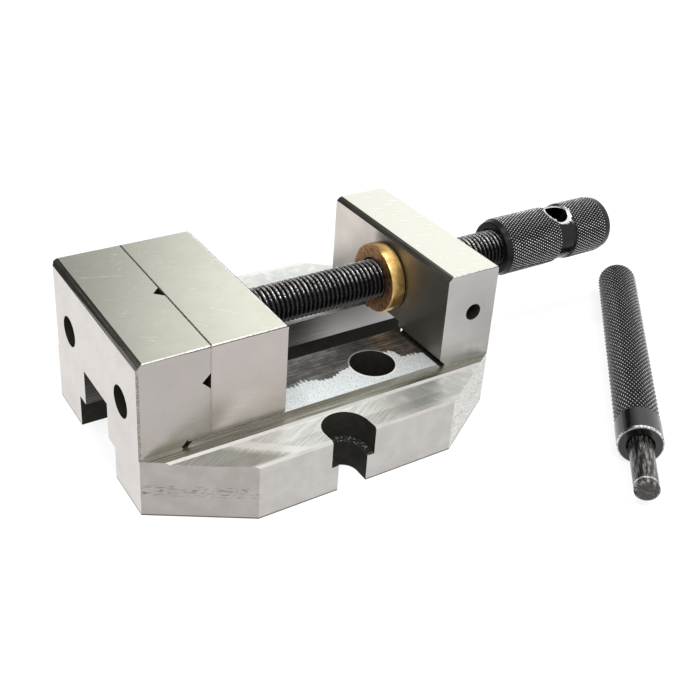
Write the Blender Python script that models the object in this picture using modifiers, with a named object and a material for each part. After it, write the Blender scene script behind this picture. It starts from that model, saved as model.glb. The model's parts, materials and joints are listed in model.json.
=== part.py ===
"""Precision screw vise for grinding and milling, 60 mm jaws, with its loose tommy bar.

The vise is laid out from a datum on the underside at the fixed-jaw end: +X runs along the
screw towards the knob, +Y across the jaws, +Z up. The whole model then hangs from one empty
that puts the middle of the underside of its bounding box at the world origin.
"""
import math

import bmesh
import bpy
from mathutils import Matrix, Vector

MM = 0.001
GAP = 0.3 * MM                      # clearance between pieces that touch
ROUND = 48                          # facets round a bore or a shaft
FINE = 64                           # facets round the larger turned pieces
COARSE = 24                         # facets round pins and small screws
PAST = 2.0 * MM                     # how far a cutter runs past the face that it opens
TOLERANCE = 0.01 * MM
MERGE = 0.00001

# Base: bed, side flanges and the two upright blocks are one ground casting.
JAW_WIDTH = 60.0 * MM
BED_Z = 18.4 * MM
FIXED_TOP_Z = 45.7 * MM
REAR_TOP_Z = 46.7 * MM
FIXED_BLOCK_X = 13.3 * MM           # face that carries the jaw plate
REAR_FACE_X = 93.2 * MM
BASE_LENGTH = 111.1 * MM
FLANGE_WIDTH = 91.0 * MM
FLANGE_START_X = 25.7 * MM
FLANGE_END_X = 87.2 * MM
FLANGE_LAND_Z = 17.1 * MM           # narrow land beside the bed
FLANGE_LAND_Y = 33.3 * MM
FLANGE_COVE_Z = 16.5 * MM           # lowest line of the shallow milled cove
FLANGE_EDGE_Z = 16.9 * MM
END_CHAMFER = 1.3 * MM
EDGE_CHAMFER = 0.5 * MM
SIDE_CHAMFER = 0.6 * MM
RELIEF_WIDTH = 1.5 * MM             # 45 degree relief groove at the foot of each block
RELIEF_DEPTH = 2.7 * MM

# Guide channel: an upside-down T that runs the whole length of the base.
SLOT_WIDTH = 17.0 * MM
SLOT_TOP_Z = 21.2 * MM
CHANNEL_WIDTH = 26.2 * MM
CHANNEL_TOP_Z = 10.1 * MM

# Clamping slots in the flanges and clamping holes in the bed, for M8 cap screws.
CLAMP_SEAT_Z = 8.3 * MM
CLAMP_HEAD_R = 6.75 * MM
CLAMP_SHANK_R = 4.55 * MM
CLAMP_SLOT_X = 54.1 * MM
CLAMP_SLOT_Y = 41.0 * MM
BED_HOLE_X = 75.6 * MM
BED_HOLE_Y = 20.9 * MM
BED_HOLE_R = 6.7 * MM

# Fixed jaw plate, its two cap screws (M5) and two dowels.
PLATE_FRONT_X = 19.6 * MM
V_GROOVE_DEPTH = 2.35 * MM
V_GROOVE_Z = 35.4 * MM
PLATE_SCREW_Y = 18.6 * MM
PLATE_SCREW_Z = 28.3 * MM
PLATE_SCREW_HEAD_R = 4.25 * MM
PLATE_SCREW_HEAD_L = 5.0 * MM
PLATE_SCREW_SHANK_R = 2.5 * MM
PLATE_SCREW_SEAT_X = 8.0 * MM
PLATE_SCREW_BORE_R = 4.5 * MM
PLATE_SCREW_TIP_X = 17.6 * MM
PLATE_SOCKET_R = 2.3 * MM
DOWEL_R = 2.0 * MM
DOWEL_Y = 24.5 * MM
DOWEL_Z = 39.8 * MM
DOWEL_START_X = 8.3 * MM
DOWEL_END_X = 16.8 * MM

# Moving jaw with its guide tenon and the keeper plate that runs in the channel.
JAW_REAR_X = 41.6 * MM
TENON_START_X = 21.9 * MM
TENON_END_X = 39.8 * MM
TENON_Z = 9.9 * MM
KEEPER_START_X = 21.3 * MM
KEEPER_END_X = 40.4 * MM
KEEPER_BOTTOM_Z = 3.4 * MM
KEEPER_SCREW_XS = (26.0 * MM, 35.0 * MM)
KEEPER_HEAD_R = 3.5 * MM
KEEPER_HEAD_L = 4.0 * MM
KEEPER_SHANK_R = 2.0 * MM
KEEPER_SOCKET_R = 1.6 * MM
KEEPER_SCREW_TOP_Z = 18.0 * MM

# Screw: M12 x 1.5, right hand.
SCREW_Z = 33.0 * MM
SCREW_R = 6.0 * MM
SCREW_START_X = 42.3 * MM
SPIGOT_X = 137.6 * MM               # where the thread ends inside the knob
SPIGOT_R = 5.0 * MM
SPIGOT_END_X = 151.0 * MM
NOSE_R = 4.7 * MM
NOSE_START_X = 31.8 * MM
NOSE_BORE_R = 5.1 * MM
NOSE_BORE_X = 26.2 * MM
NECK_R = 3.2 * MM
NECK_START_X = 34.3 * MM
NECK_END_X = 37.7 * MM
NECK_PIN_X = 36.0 * MM
NECK_PIN_R = 1.5 * MM
NECK_PIN_BOTTOM_Z = 12.0 * MM
NECK_PIN_TOP_Z = 38.0 * MM
BALL_R = 2.5 * MM

# Bronze nut pressed into the rear block and its M5 locking screw.
NUT_FLANGE_R = 10.7 * MM
NUT_FLANGE_X = 88.3 * MM
NUT_BARREL_R = 8.0 * MM
NUT_END_X = 110.6 * MM
NUT_BORE_R = 6.4 * MM
LOCK_X = 103.4 * MM
LOCK_Z = 33.2 * MM
LOCK_HOLE_R = 2.6 * MM
LOCK_R = 2.3 * MM
LOCK_START_Y = -19.0 * MM
LOCK_SOCKET_R = 1.35 * MM

# Knob: two knurled drums, a plain waist and a cross hole for the tommy bar.
KNOB_START_X = 134.3 * MM
KNOB_CONE_X = 137.2 * MM
KNOB_WAIST_X = (156.8 * MM, 157.4 * MM, 163.1 * MM, 163.7 * MM)
KNOB_TAPER_X = 176.6 * MM
KNOB_END_X = 179.6 * MM
KNOB_R = 9.5 * MM
KNOB_FACE_R = 8.6 * MM
KNOB_WAIST_R = 8.8 * MM
KNOB_RECESS_R = 6.4 * MM
KNOB_RECESS_X = 138.3 * MM
KNOB_BORE_R = 5.3 * MM
KNOB_BORE_X = 151.4 * MM
CROSS_HOLE_X = 159.3 * MM
CROSS_HOLE_R = 3.9 * MM
CROSS_HOLE_TILT = math.radians(13.0)
KNOB_PIN_X = 145.0 * MM
KNOB_PIN_R = 1.5 * MM
KNOB_PIN_TILT = math.radians(215.0)
KNOB_PIN_OUTER = 9.0 * MM
KNOB_PIN_INNER = -3.2 * MM

# Tommy bar, lying loose beside the vise.
BAR_X = 131.0 * MM                  # middle of the collar face, from the datum
BAR_Y = -76.6 * MM
BAR_TURN = math.radians(-131.1)     # direction from the grip to the pin
BAR_R = 6.7 * MM
BAR_LENGTH = 103.3 * MM
BAR_DOME = 5.4 * MM
BAR_CHAMFER = 0.7 * MM
BAR_BORE_R = 3.8 * MM
BAR_BORE_DEPTH = 16.5 * MM
BAR_PIN_R = 3.5 * MM
BAR_PIN_OUT = 20.2 * MM
BAR_PIN_IN = 16.0 * MM

COLLECTION = "machine_vise"
X_AXIS, Y_AXIS, Z_AXIS = "X", "Y", "Z"


# ---------------------------------------------------------------- scene helpers

def clear_scene():
    for obj in list(bpy.data.objects):
        bpy.data.objects.remove(obj, do_unlink=True)


def make_collection(name):
    collection = bpy.data.collections.new(name)
    bpy.context.scene.collection.children.link(collection)
    return collection


def move_to(obj, collection):
    for owner in list(obj.users_collection):
        owner.objects.unlink(obj)
    collection.objects.link(obj)


def make_material(name, colour, roughness, metallic=1.0):
    material = bpy.data.materials.new(name)
    material.use_nodes = True
    shader = material.node_tree.nodes["Principled BSDF"]
    shader.inputs["Base Color"].default_value = (*colour, 1.0)
    shader.inputs["Roughness"].default_value = roughness
    shader.inputs["Metallic"].default_value = metallic
    material.diffuse_color = (*colour, 1.0)
    return material


def apply_scale(obj):
    obj.data.transform(Matrix.Diagonal((*obj.scale, 1.0)))
    obj.scale = (1.0, 1.0, 1.0)


def turn_to_axis(obj, axis):
    """Turn an object made along Z so that it runs along the named axis."""
    if axis == X_AXIS:
        obj.rotation_euler = (0.0, math.radians(90.0), 0.0)
    elif axis == Y_AXIS:
        obj.rotation_euler = (math.radians(-90.0), 0.0, 0.0)


def box(name, low, high):
    """Box between two corners."""
    centre = [(a + b) / 2.0 for a, b in zip(low, high)]
    bpy.ops.mesh.primitive_cube_add(size=1.0, location=centre)
    obj = bpy.context.object
    obj.name = name
    obj.scale = [b - a for a, b in zip(low, high)]
    apply_scale(obj)
    return obj


def cylinder(name, start, axis, length, radius, facets=ROUND):
    """Cylinder that starts at a point and runs a length along +axis."""
    step = {X_AXIS: Vector((1, 0, 0)), Y_AXIS: Vector((0, 1, 0)), Z_AXIS: Vector((0, 0, 1))}[axis]
    centre = Vector(start) + step * (length / 2.0)
    bpy.ops.mesh.primitive_cylinder_add(vertices=facets, radius=radius, depth=length, location=centre)
    obj = bpy.context.object
    obj.name = name
    turn_to_axis(obj, axis)
    return obj


def ball(name, centre, radius):
    bpy.ops.mesh.primitive_uv_sphere_add(segments=24, ring_count=12, radius=radius, location=centre)
    obj = bpy.context.object
    obj.name = name
    return obj


def prism(name, outline, half_thickness):
    """Closed 2D outline filled and thickened both ways along its own Z, as a mesh."""
    curve = bpy.data.curves.new(name, "CURVE")
    curve.dimensions = "2D"
    curve.fill_mode = "BOTH"
    curve.extrude = half_thickness
    spline = curve.splines.new("POLY")
    spline.points.add(len(outline) - 1)
    for point, (u, v) in zip(spline.points, outline):
        point.co = (u, v, 0.0, 1.0)
    spline.use_cyclic_u = True
    flat = bpy.data.objects.new(name + "_outline", curve)
    bpy.context.scene.collection.objects.link(flat)
    evaluated = flat.evaluated_get(bpy.context.evaluated_depsgraph_get())
    mesh = bpy.data.meshes.new_from_object(evaluated)
    bpy.data.objects.remove(flat, do_unlink=True)
    shape = bmesh.new()
    shape.from_mesh(mesh)
    bmesh.ops.remove_doubles(shape, verts=shape.verts, dist=MERGE)
    bmesh.ops.dissolve_limit(shape, angle_limit=math.radians(0.5), verts=shape.verts, edges=shape.edges)
    bmesh.ops.recalc_face_normals(shape, faces=shape.faces)
    shape.to_mesh(mesh)
    shape.free()
    obj = bpy.data.objects.new(name, mesh)
    bpy.context.scene.collection.objects.link(obj)
    return obj


def turned(name, profile, steps=FINE):
    """Body of revolution about its own Z. The profile is (radius, height) from the top down."""
    mesh = bpy.data.meshes.new(name)
    closed = profile[0][0] > 0.0
    edges = [(i, i + 1) for i in range(len(profile) - 1)]
    if closed:
        edges.append((len(profile) - 1, 0))
    mesh.from_pydata([(radius, 0.0, height) for radius, height in profile], edges, [])
    obj = bpy.data.objects.new(name, mesh)
    bpy.context.scene.collection.objects.link(obj)
    screw = obj.modifiers.new("turn", "SCREW")
    screw.axis = Z_AXIS
    screw.angle = math.radians(360.0)
    screw.steps = steps
    screw.render_steps = steps
    screw.use_merge_vertices = True
    screw.merge_threshold = MERGE
    return obj


def shade_round(obj):
    obj.data.shade_smooth()
    obj.data.set_sharp_from_angle(angle=math.radians(35.0))


class Workshop:
    """Keeps the finished parts and the cutting tools in their own collections."""

    def __init__(self):
        self.parts = make_collection(COLLECTION)
        self.tools = make_collection("cutting_tools")
        self.datum = bpy.data.objects.new("vise_datum", None)
        self.parts.objects.link(self.datum)

    def tool(self, obj, parent=None):
        move_to(obj, self.tools)
        obj.display_type = "WIRE"
        obj.hide_render = True
        obj.parent = parent or self.datum
        return obj

    def part(self, obj, material, parent=None):
        move_to(obj, self.parts)
        obj.data.materials.clear()
        obj.data.materials.append(material)
        obj.parent = parent or self.datum
        return obj

    def combine(self, target, tool, operation, parent=None):
        self.tool(tool, parent)
        modifier = target.modifiers.new(operation.lower(), "BOOLEAN")
        modifier.operation = operation
        modifier.solver = "EXACT"
        modifier.object = tool

    def cut(self, target, *tools, parent=None):
        for tool in tools:
            self.combine(target, tool, "DIFFERENCE", parent)

    def join(self, target, *tools, parent=None):
        for tool in tools:
            self.combine(target, tool, "UNION", parent)

    def pivot(self, name, location, rotation=(0.0, 0.0, 0.0)):
        empty = bpy.data.objects.new(name, None)
        self.parts.objects.link(empty)
        empty.location = location
        empty.rotation_euler = rotation
        empty.parent = self.datum
        return empty


def chamfer_edges(obj, chosen, width):
    """Chamfer the edges of a mesh whose two ends both satisfy a test."""
    shape = bmesh.new()
    shape.from_mesh(obj.data)
    edges = [e for e in shape.edges if all(chosen(obj.matrix_basis @ v.co) for v in e.verts)]
    bmesh.ops.bevel(shape, geom=edges, offset=width, segments=1, affect="EDGES", clamp_overlap=True)
    shape.to_mesh(obj.data)
    shape.free()


# ---------------------------------------------------------------- base

def relief(corner_x, corner_z, away):
    """Three points of the 45 degree relief groove at the foot of an upright face.

    away is the X direction in which the groove runs into the block: -1 or +1.
    The points run from the bed to the upright face.
    """
    half = RELIEF_WIDTH * math.sqrt(0.5)
    reach = RELIEF_DEPTH * math.sqrt(0.5)
    on_bed = (corner_x - away * half, corner_z)
    deep_low = (on_bed[0] + away * reach, on_bed[1] - reach)
    on_face = (corner_x, corner_z + half)
    deep_high = (on_face[0] + away * reach, on_face[1] - reach)
    return [on_bed, deep_low, deep_high, on_face]


def body_profile():
    """Side view of the bed and both blocks, as (x, z) points."""
    points = [(0.0, 0.0), (BASE_LENGTH, 0.0)]
    points += [(BASE_LENGTH, REAR_TOP_Z - EDGE_CHAMFER), (BASE_LENGTH - EDGE_CHAMFER, REAR_TOP_Z)]
    points += [(REAR_FACE_X + END_CHAMFER, REAR_TOP_Z), (REAR_FACE_X, REAR_TOP_Z - END_CHAMFER)]
    points += reversed(relief(REAR_FACE_X, BED_Z, 1.0))
    points += relief(FIXED_BLOCK_X, BED_Z, -1.0)
    points += [(FIXED_BLOCK_X, FIXED_TOP_Z), (END_CHAMFER, FIXED_TOP_Z), (0.0, FIXED_TOP_Z - END_CHAMFER)]
    return points


def flange_section():
    """End view of the flanges, as (y, z) points, with a land, a shallow cove and a chamfer."""
    half = FLANGE_WIDTH / 2.0
    middle = (FLANGE_LAND_Y + half) / 2.0
    side = [(half, 0.0), (half, FLANGE_EDGE_Z - SIDE_CHAMFER), (half - SIDE_CHAMFER, FLANGE_EDGE_Z)]
    side += [(middle, FLANGE_COVE_Z), (FLANGE_LAND_Y + SIDE_CHAMFER, FLANGE_COVE_Z)]
    side.append((FLANGE_LAND_Y, FLANGE_LAND_Z))
    return side + [(-y, z) for y, z in reversed(side)]


def flange_plan():
    """Plan of the flanges, as (x, y) points."""
    inner, outer = JAW_WIDTH / 2.0, FLANGE_WIDTH / 2.0
    near = [(0.0, -inner), (FLANGE_START_X, -outer), (FLANGE_END_X, -outer), (BASE_LENGTH, -inner)]
    return near + [(x, -y) for x, y in reversed(near)]


def stand_on_side(obj):
    """Stand a flat prism up so that its outline reads as x and z, and keep that in its mesh."""
    obj.rotation_euler = (math.radians(90.0), 0.0, 0.0)
    bpy.context.view_layer.update()
    obj.data.transform(obj.matrix_basis)
    obj.matrix_basis = Matrix.Identity(4)


def make_base(shop, material):
    base = prism("base_body", body_profile(), JAW_WIDTH / 2.0)
    stand_on_side(base)
    half = JAW_WIDTH / 2.0

    def end_corner(point):
        return abs(abs(point.y) - half) < TOLERANCE and point.x < TOLERANCE

    def upper_side(point):
        inside = END_CHAMFER / 2.0 < point.x < BASE_LENGTH + TOLERANCE
        return abs(abs(point.y) - half) < TOLERANCE and point.z > FIXED_TOP_Z - TOLERANCE and inside

    chamfer_edges(base, end_corner, SIDE_CHAMFER)
    chamfer_edges(base, upper_side, EDGE_CHAMFER)

    section = prism("flange_section", flange_section(), BASE_LENGTH / 2.0)
    section.rotation_euler = (math.radians(90.0), 0.0, math.radians(90.0))
    section.location.x = BASE_LENGTH / 2.0
    plan = prism("flange_plan", flange_plan(), FIXED_TOP_Z)
    shop.combine(section, plan, "INTERSECT")
    shop.join(base, section)

    cut_guide_channel(shop, base)
    cut_clamping(shop, base)
    cut_fasteners(shop, base)
    return shop.part(base, material)


def cut_guide_channel(shop, base):
    slot_half, channel_half = SLOT_WIDTH / 2.0, CHANNEL_WIDTH / 2.0
    slot = box("guide_slot", (-PAST, -slot_half, -PAST), (BASE_LENGTH + PAST, slot_half, SLOT_TOP_Z))
    low, high = (-PAST, -channel_half, -PAST), (BASE_LENGTH + PAST, channel_half, CHANNEL_TOP_Z)
    shop.cut(base, slot, box("keeper_channel", low, high))


def cut_clamping(shop, base):
    above = FIXED_TOP_Z
    outside = FLANGE_WIDTH / 2.0 + PAST
    for side, sign in (("near", -1.0), ("far", 1.0)):
        for part, radius, floor in (("head", CLAMP_HEAD_R, CLAMP_SEAT_Z), ("shank", CLAMP_SHANK_R, -PAST)):
            name = f"clamp_{part}_{side}"
            centre = (CLAMP_SLOT_X, sign * CLAMP_SLOT_Y, floor)
            round_end = cylinder(name, centre, Z_AXIS, above - floor, radius)
            ys = sorted((sign * CLAMP_SLOT_Y, sign * outside))
            low = (CLAMP_SLOT_X - radius, ys[0], floor)
            high = (CLAMP_SLOT_X + radius, ys[1], above)
            shop.cut(base, round_end, box(name + "_mouth", low, high))
        seat = (BED_HOLE_X, sign * BED_HOLE_Y, CLAMP_SEAT_Z)
        under = (BED_HOLE_X, sign * BED_HOLE_Y, -PAST)
        shop.cut(base, cylinder(f"bed_head_{side}", seat, Z_AXIS, above, BED_HOLE_R))
        shop.cut(base, cylinder(f"bed_shank_{side}", under, Z_AXIS, above, CLAMP_SHANK_R))


def cut_fasteners(shop, base):
    for side, sign in (("near", -1.0), ("far", 1.0)):
        start = (-PAST, sign * PLATE_SCREW_Y, PLATE_SCREW_Z)
        head_length = PLATE_SCREW_SEAT_X + PAST
        shank_r = PLATE_SCREW_SHANK_R + GAP
        shop.cut(base, cylinder(f"plate_bore_{side}", start, X_AXIS, head_length, PLATE_SCREW_BORE_R))
        shop.cut(base, cylinder(f"plate_way_{side}", start, X_AXIS, FIXED_BLOCK_X + 2.0 * PAST, shank_r))
        dowel_start = (DOWEL_START_X - GAP, sign * DOWEL_Y, DOWEL_Z)
        shop.cut(base, cylinder(f"dowel_way_{side}", dowel_start, X_AXIS, FIXED_BLOCK_X, DOWEL_R + GAP))
    nut_start = (REAR_FACE_X - PAST, 0.0, SCREW_Z)
    nut_length = BASE_LENGTH - REAR_FACE_X + 2.0 * PAST
    shop.cut(base, cylinder("nut_bore", nut_start, X_AXIS, nut_length, NUT_BARREL_R + GAP, FINE))
    lock_start = (LOCK_X, -JAW_WIDTH / 2.0 - PAST, LOCK_Z)
    lock_length = JAW_WIDTH / 2.0 + PAST - NUT_BARREL_R / 2.0
    shop.cut(base, cylinder("lock_way", lock_start, Y_AXIS, lock_length, LOCK_HOLE_R))


# ---------------------------------------------------------------- fixed jaw plate

def v_cutter(name, along, centre, length):
    """Square bar on edge that cuts a 90 degree V groove, half sunk at its centre line."""
    side = V_GROOVE_DEPTH * math.sqrt(2.0)
    size = {Y_AXIS: (side, length, side), Z_AXIS: (side, side, length)}[along]
    cutter = box(name, [-s / 2.0 for s in size], [s / 2.0 for s in size])
    cutter.location = centre
    turn = math.radians(45.0)
    cutter.rotation_euler = (0.0, turn, 0.0) if along == Y_AXIS else (0.0, 0.0, turn)
    return cutter


def make_plate(shop, material):
    half = JAW_WIDTH / 2.0
    low = (FIXED_BLOCK_X + GAP, -half, BED_Z + GAP)
    plate = box("fixed_jaw_plate", low, (PLATE_FRONT_X, half, FIXED_TOP_Z))
    level = v_cutter("v_level", Y_AXIS, (PLATE_FRONT_X, 0.0, V_GROOVE_Z), JAW_WIDTH + 2.0 * PAST)
    upright = v_cutter("v_upright", Z_AXIS, (PLATE_FRONT_X, 0.0, FIXED_TOP_Z / 2.0), FIXED_TOP_Z + 2.0 * PAST)
    shop.cut(plate, level, upright)
    start_x = FIXED_BLOCK_X - 2.0 * PAST
    for side, sign in (("near", -1.0), ("far", 1.0)):
        tapped = (start_x, sign * PLATE_SCREW_Y, PLATE_SCREW_Z)
        length = PLATE_SCREW_TIP_X + GAP - start_x
        shop.cut(plate, cylinder(f"plate_tap_{side}", tapped, X_AXIS, length, PLATE_SCREW_SHANK_R + GAP))
        seat = (start_x, sign * DOWEL_Y, DOWEL_Z)
        length = DOWEL_END_X + GAP - start_x
        shop.cut(plate, cylinder(f"dowel_seat_{side}", seat, X_AXIS, length, DOWEL_R + GAP))
    return shop.part(plate, material)


def cap_screw(shop, name, head_r, head_l, shank_r, length, material, socket_r):
    """Socket cap screw along its own +Z, with the underside of the head at the origin."""
    profile = [(0.0, length), (shank_r, length), (shank_r, 0.0)]
    profile += [(head_r, 0.0), (head_r, -head_l), (0.0, -head_l)]
    screw = turned(name, profile, ROUND // 2)
    socket = cylinder(name + "_socket", (0.0, 0.0, -head_l - MM), Z_AXIS, head_l / 2.0 + MM, socket_r, 6)
    shop.part(screw, material)
    shop.cut(screw, socket, parent=screw)
    return screw


def make_plate_fasteners(shop, steel, dark):
    length = PLATE_SCREW_TIP_X - PLATE_SCREW_SEAT_X
    for side, sign in (("near", -1.0), ("far", 1.0)):
        screw = cap_screw(shop, f"jaw_plate_screw_{side}", PLATE_SCREW_HEAD_R, PLATE_SCREW_HEAD_L,
                          PLATE_SCREW_SHANK_R, length + GAP, dark, PLATE_SOCKET_R)
        screw.location = (PLATE_SCREW_SEAT_X - GAP, sign * PLATE_SCREW_Y, PLATE_SCREW_Z)
        turn_to_axis(screw, X_AXIS)
        start = (DOWEL_START_X, sign * DOWEL_Y, DOWEL_Z)
        dowel = cylinder(f"jaw_plate_dowel_{side}", start, X_AXIS, DOWEL_END_X - DOWEL_START_X, DOWEL_R, COARSE)
        shop.part(dowel, steel)


# ---------------------------------------------------------------- moving jaw

def make_moving_jaw(shop, material):
    half = JAW_WIDTH / 2.0
    front = PLATE_FRONT_X + GAP
    jaw = box("movable_jaw", (front, -half, BED_Z + GAP), (JAW_REAR_X, half, FIXED_TOP_Z))

    def rear_top(point):
        return abs(point.z - FIXED_TOP_Z) < TOLERANCE and abs(point.x - JAW_REAR_X) < TOLERANCE

    chamfer_edges(jaw, rear_top, EDGE_CHAMFER)
    tenon_half = SLOT_WIDTH / 2.0 - GAP
    low = (TENON_START_X, -tenon_half, TENON_Z)
    shop.join(jaw, box("tenon", low, (TENON_END_X, tenon_half, BED_Z + PAST)))
    bore = (NOSE_BORE_X, 0.0, SCREW_Z)
    shop.cut(jaw, cylinder("nose_bore", bore, X_AXIS, JAW_REAR_X - NOSE_BORE_X + PAST, NOSE_BORE_R))
    for side, sign in (("near", -1.0), ("far", 1.0)):
        start = (NECK_PIN_X, sign * neck_pin_y(), TENON_Z - PAST)
        length = NECK_PIN_TOP_Z + GAP - start[2]
        shop.cut(jaw, cylinder(f"neck_pin_way_{side}", start, Z_AXIS, length, NECK_PIN_R + GAP, COARSE))
    for end, x in zip(("front", "rear"), KEEPER_SCREW_XS):
        length = KEEPER_SCREW_TOP_Z + GAP - TENON_Z + PAST
        below = (x, 0.0, TENON_Z - PAST)
        shop.cut(jaw, cylinder(f"keeper_tap_{end}", below, Z_AXIS, length, KEEPER_SHANK_R + GAP, COARSE))
    return shop.part(jaw, material)


def neck_pin_y():
    """The two pins stand beside the neck of the screw, one on each side."""
    return NECK_R + GAP + NECK_PIN_R


def make_keeper(shop, steel, dark):
    keeper_top = TENON_Z - GAP
    half = CHANNEL_WIDTH / 2.0 - GAP
    low = (KEEPER_START_X, -half, KEEPER_BOTTOM_Z)
    keeper = box("keeper_plate", low, (KEEPER_END_X, half, keeper_top))
    seat_z = KEEPER_BOTTOM_Z + KEEPER_HEAD_L + GAP
    for end, x in zip(("front", "rear"), KEEPER_SCREW_XS):
        below = (x, 0.0, KEEPER_BOTTOM_Z - PAST)
        head_r, shank_r = KEEPER_HEAD_R + GAP, KEEPER_SHANK_R + GAP
        shop.cut(keeper, cylinder(f"keeper_head_{end}", below, Z_AXIS, seat_z - below[2], head_r, COARSE))
        shop.cut(keeper, cylinder(f"keeper_way_{end}", below, Z_AXIS, KEEPER_SCREW_TOP_Z, shank_r, COARSE))
        screw = cap_screw(shop, f"keeper_screw_{end}", KEEPER_HEAD_R, KEEPER_HEAD_L, KEEPER_SHANK_R,
                          KEEPER_SCREW_TOP_Z - seat_z + GAP, dark, KEEPER_SOCKET_R)
        screw.location = (x, 0.0, seat_z - GAP)
    shop.part(keeper, steel)


def make_screw_retainers(shop, steel):
    for side, sign in (("near", -1.0), ("far", 1.0)):
        start = (NECK_PIN_X, sign * neck_pin_y(), NECK_PIN_BOTTOM_Z)
        length = NECK_PIN_TOP_Z - NECK_PIN_BOTTOM_Z
        shop.part(cylinder(f"screw_pin_{side}", start, Z_AXIS, length, NECK_PIN_R, COARSE), steel)
    centre = (NOSE_START_X - GAP - BALL_R, 0.0, SCREW_Z)
    shop.part(ball("thrust_ball", centre, BALL_R), steel)


# ---------------------------------------------------------------- screw and knob

def from_axis(x):
    """Height on a turned profile of a point at x, for pieces turned along +X from the nose."""
    return x - NOSE_START_X


def radial_cylinder(name, x, tilt, outer, inner, radius, facets):
    """Cylinder across the screw axis, from one radius to another, tilted from +Z towards -Y."""
    middle = (outer + inner) / 2.0
    obj = cylinder(name, (0.0, 0.0, 0.0), Z_AXIS, outer - inner, radius, facets)
    obj.location = (x, -middle * math.sin(tilt), SCREW_Z + middle * math.cos(tilt))
    obj.rotation_euler = (tilt, 0.0, 0.0)
    return obj


def make_spindle(shop, pivot, material):
    profile = [(0.0, SPIGOT_END_X), (SPIGOT_R, SPIGOT_END_X), (SPIGOT_R, SPIGOT_X), (SCREW_R, SPIGOT_X)]
    profile += [(SCREW_R, SCREW_START_X), (NOSE_R, SCREW_START_X), (NOSE_R, NECK_END_X), (NECK_R, NECK_END_X)]
    profile += [(NECK_R, NECK_START_X), (NOSE_R, NECK_START_X), (NOSE_R, NOSE_START_X), (0.0, NOSE_START_X)]
    spindle = turned("spindle", [(radius, from_axis(x)) for radius, x in profile], ROUND)
    turn_to_axis(spindle, X_AXIS)
    shop.part(spindle, material, pivot)
    way = radial_cylinder("spindle_pin_way", KNOB_PIN_X, KNOB_PIN_TILT, KNOB_R, KNOB_PIN_INNER - GAP,
                          KNOB_PIN_R + GAP, COARSE)
    shop.cut(spindle, way)


def make_knob(shop, pivot, material, steel):
    waist = KNOB_WAIST_X
    profile = [(KNOB_RECESS_R, KNOB_START_X), (KNOB_RECESS_R, KNOB_RECESS_X), (KNOB_BORE_R, KNOB_RECESS_X)]
    profile += [(KNOB_BORE_R, KNOB_BORE_X), (0.0, KNOB_BORE_X)]
    outside = [(0.0, KNOB_END_X), (KNOB_FACE_R, KNOB_END_X), (KNOB_R, KNOB_TAPER_X), (KNOB_R, waist[3])]
    outside += [(KNOB_WAIST_R, waist[2]), (KNOB_WAIST_R, waist[1]), (KNOB_R, waist[0])]
    outside += [(KNOB_R, KNOB_CONE_X), (KNOB_FACE_R, KNOB_START_X)]
    knob = turned("knob", [(radius, from_axis(x)) for radius, x in outside + profile], FINE)
    turn_to_axis(knob, X_AXIS)
    shop.part(knob, material, pivot)
    reach = KNOB_R + 2.0 * MM
    hole = radial_cylinder("cross_hole", CROSS_HOLE_X, CROSS_HOLE_TILT, reach, -reach, CROSS_HOLE_R, ROUND)
    way = radial_cylinder("knob_pin_way", KNOB_PIN_X, KNOB_PIN_TILT, reach, 0.0, KNOB_PIN_R + GAP, COARSE)
    shop.cut(knob, hole, way)
    pin = radial_cylinder("knob_pin", 0.0, KNOB_PIN_TILT, KNOB_PIN_OUTER, KNOB_PIN_INNER, KNOB_PIN_R, COARSE)
    pin.location = pin.location + Vector((from_axis(KNOB_PIN_X), 0.0, -SCREW_Z))
    shop.part(pin, steel, pivot)


# ---------------------------------------------------------------- nut

def make_nut(shop, bronze, dark):
    flange_end = REAR_FACE_X - GAP
    profile = [(NUT_BORE_R, NUT_END_X), (NUT_BARREL_R, NUT_END_X), (NUT_BARREL_R, flange_end)]
    profile += [(NUT_FLANGE_R, flange_end), (NUT_FLANGE_R, NUT_FLANGE_X + EDGE_CHAMFER)]
    profile += [(NUT_FLANGE_R - EDGE_CHAMFER, NUT_FLANGE_X), (NUT_BORE_R, NUT_FLANGE_X)]
    nut = turned("bronze_nut", [(radius, x - REAR_FACE_X) for radius, x in profile], FINE)
    nut.location = (REAR_FACE_X, 0.0, SCREW_Z)
    turn_to_axis(nut, X_AXIS)
    shop.part(nut, bronze)
    start = (LOCK_X, LOCK_START_Y, LOCK_Z)
    lock = cylinder("nut_lock_screw", start, Y_AXIS, -NUT_BARREL_R - 2.0 * GAP - LOCK_START_Y, LOCK_R, COARSE)
    mouth = (LOCK_X, LOCK_START_Y - MM, LOCK_Z)
    shop.cut(lock, cylinder("lock_socket", mouth, Y_AXIS, 4.0 * MM, LOCK_SOCKET_R, 6))
    shop.part(lock, dark)


# ---------------------------------------------------------------- tommy bar

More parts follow.
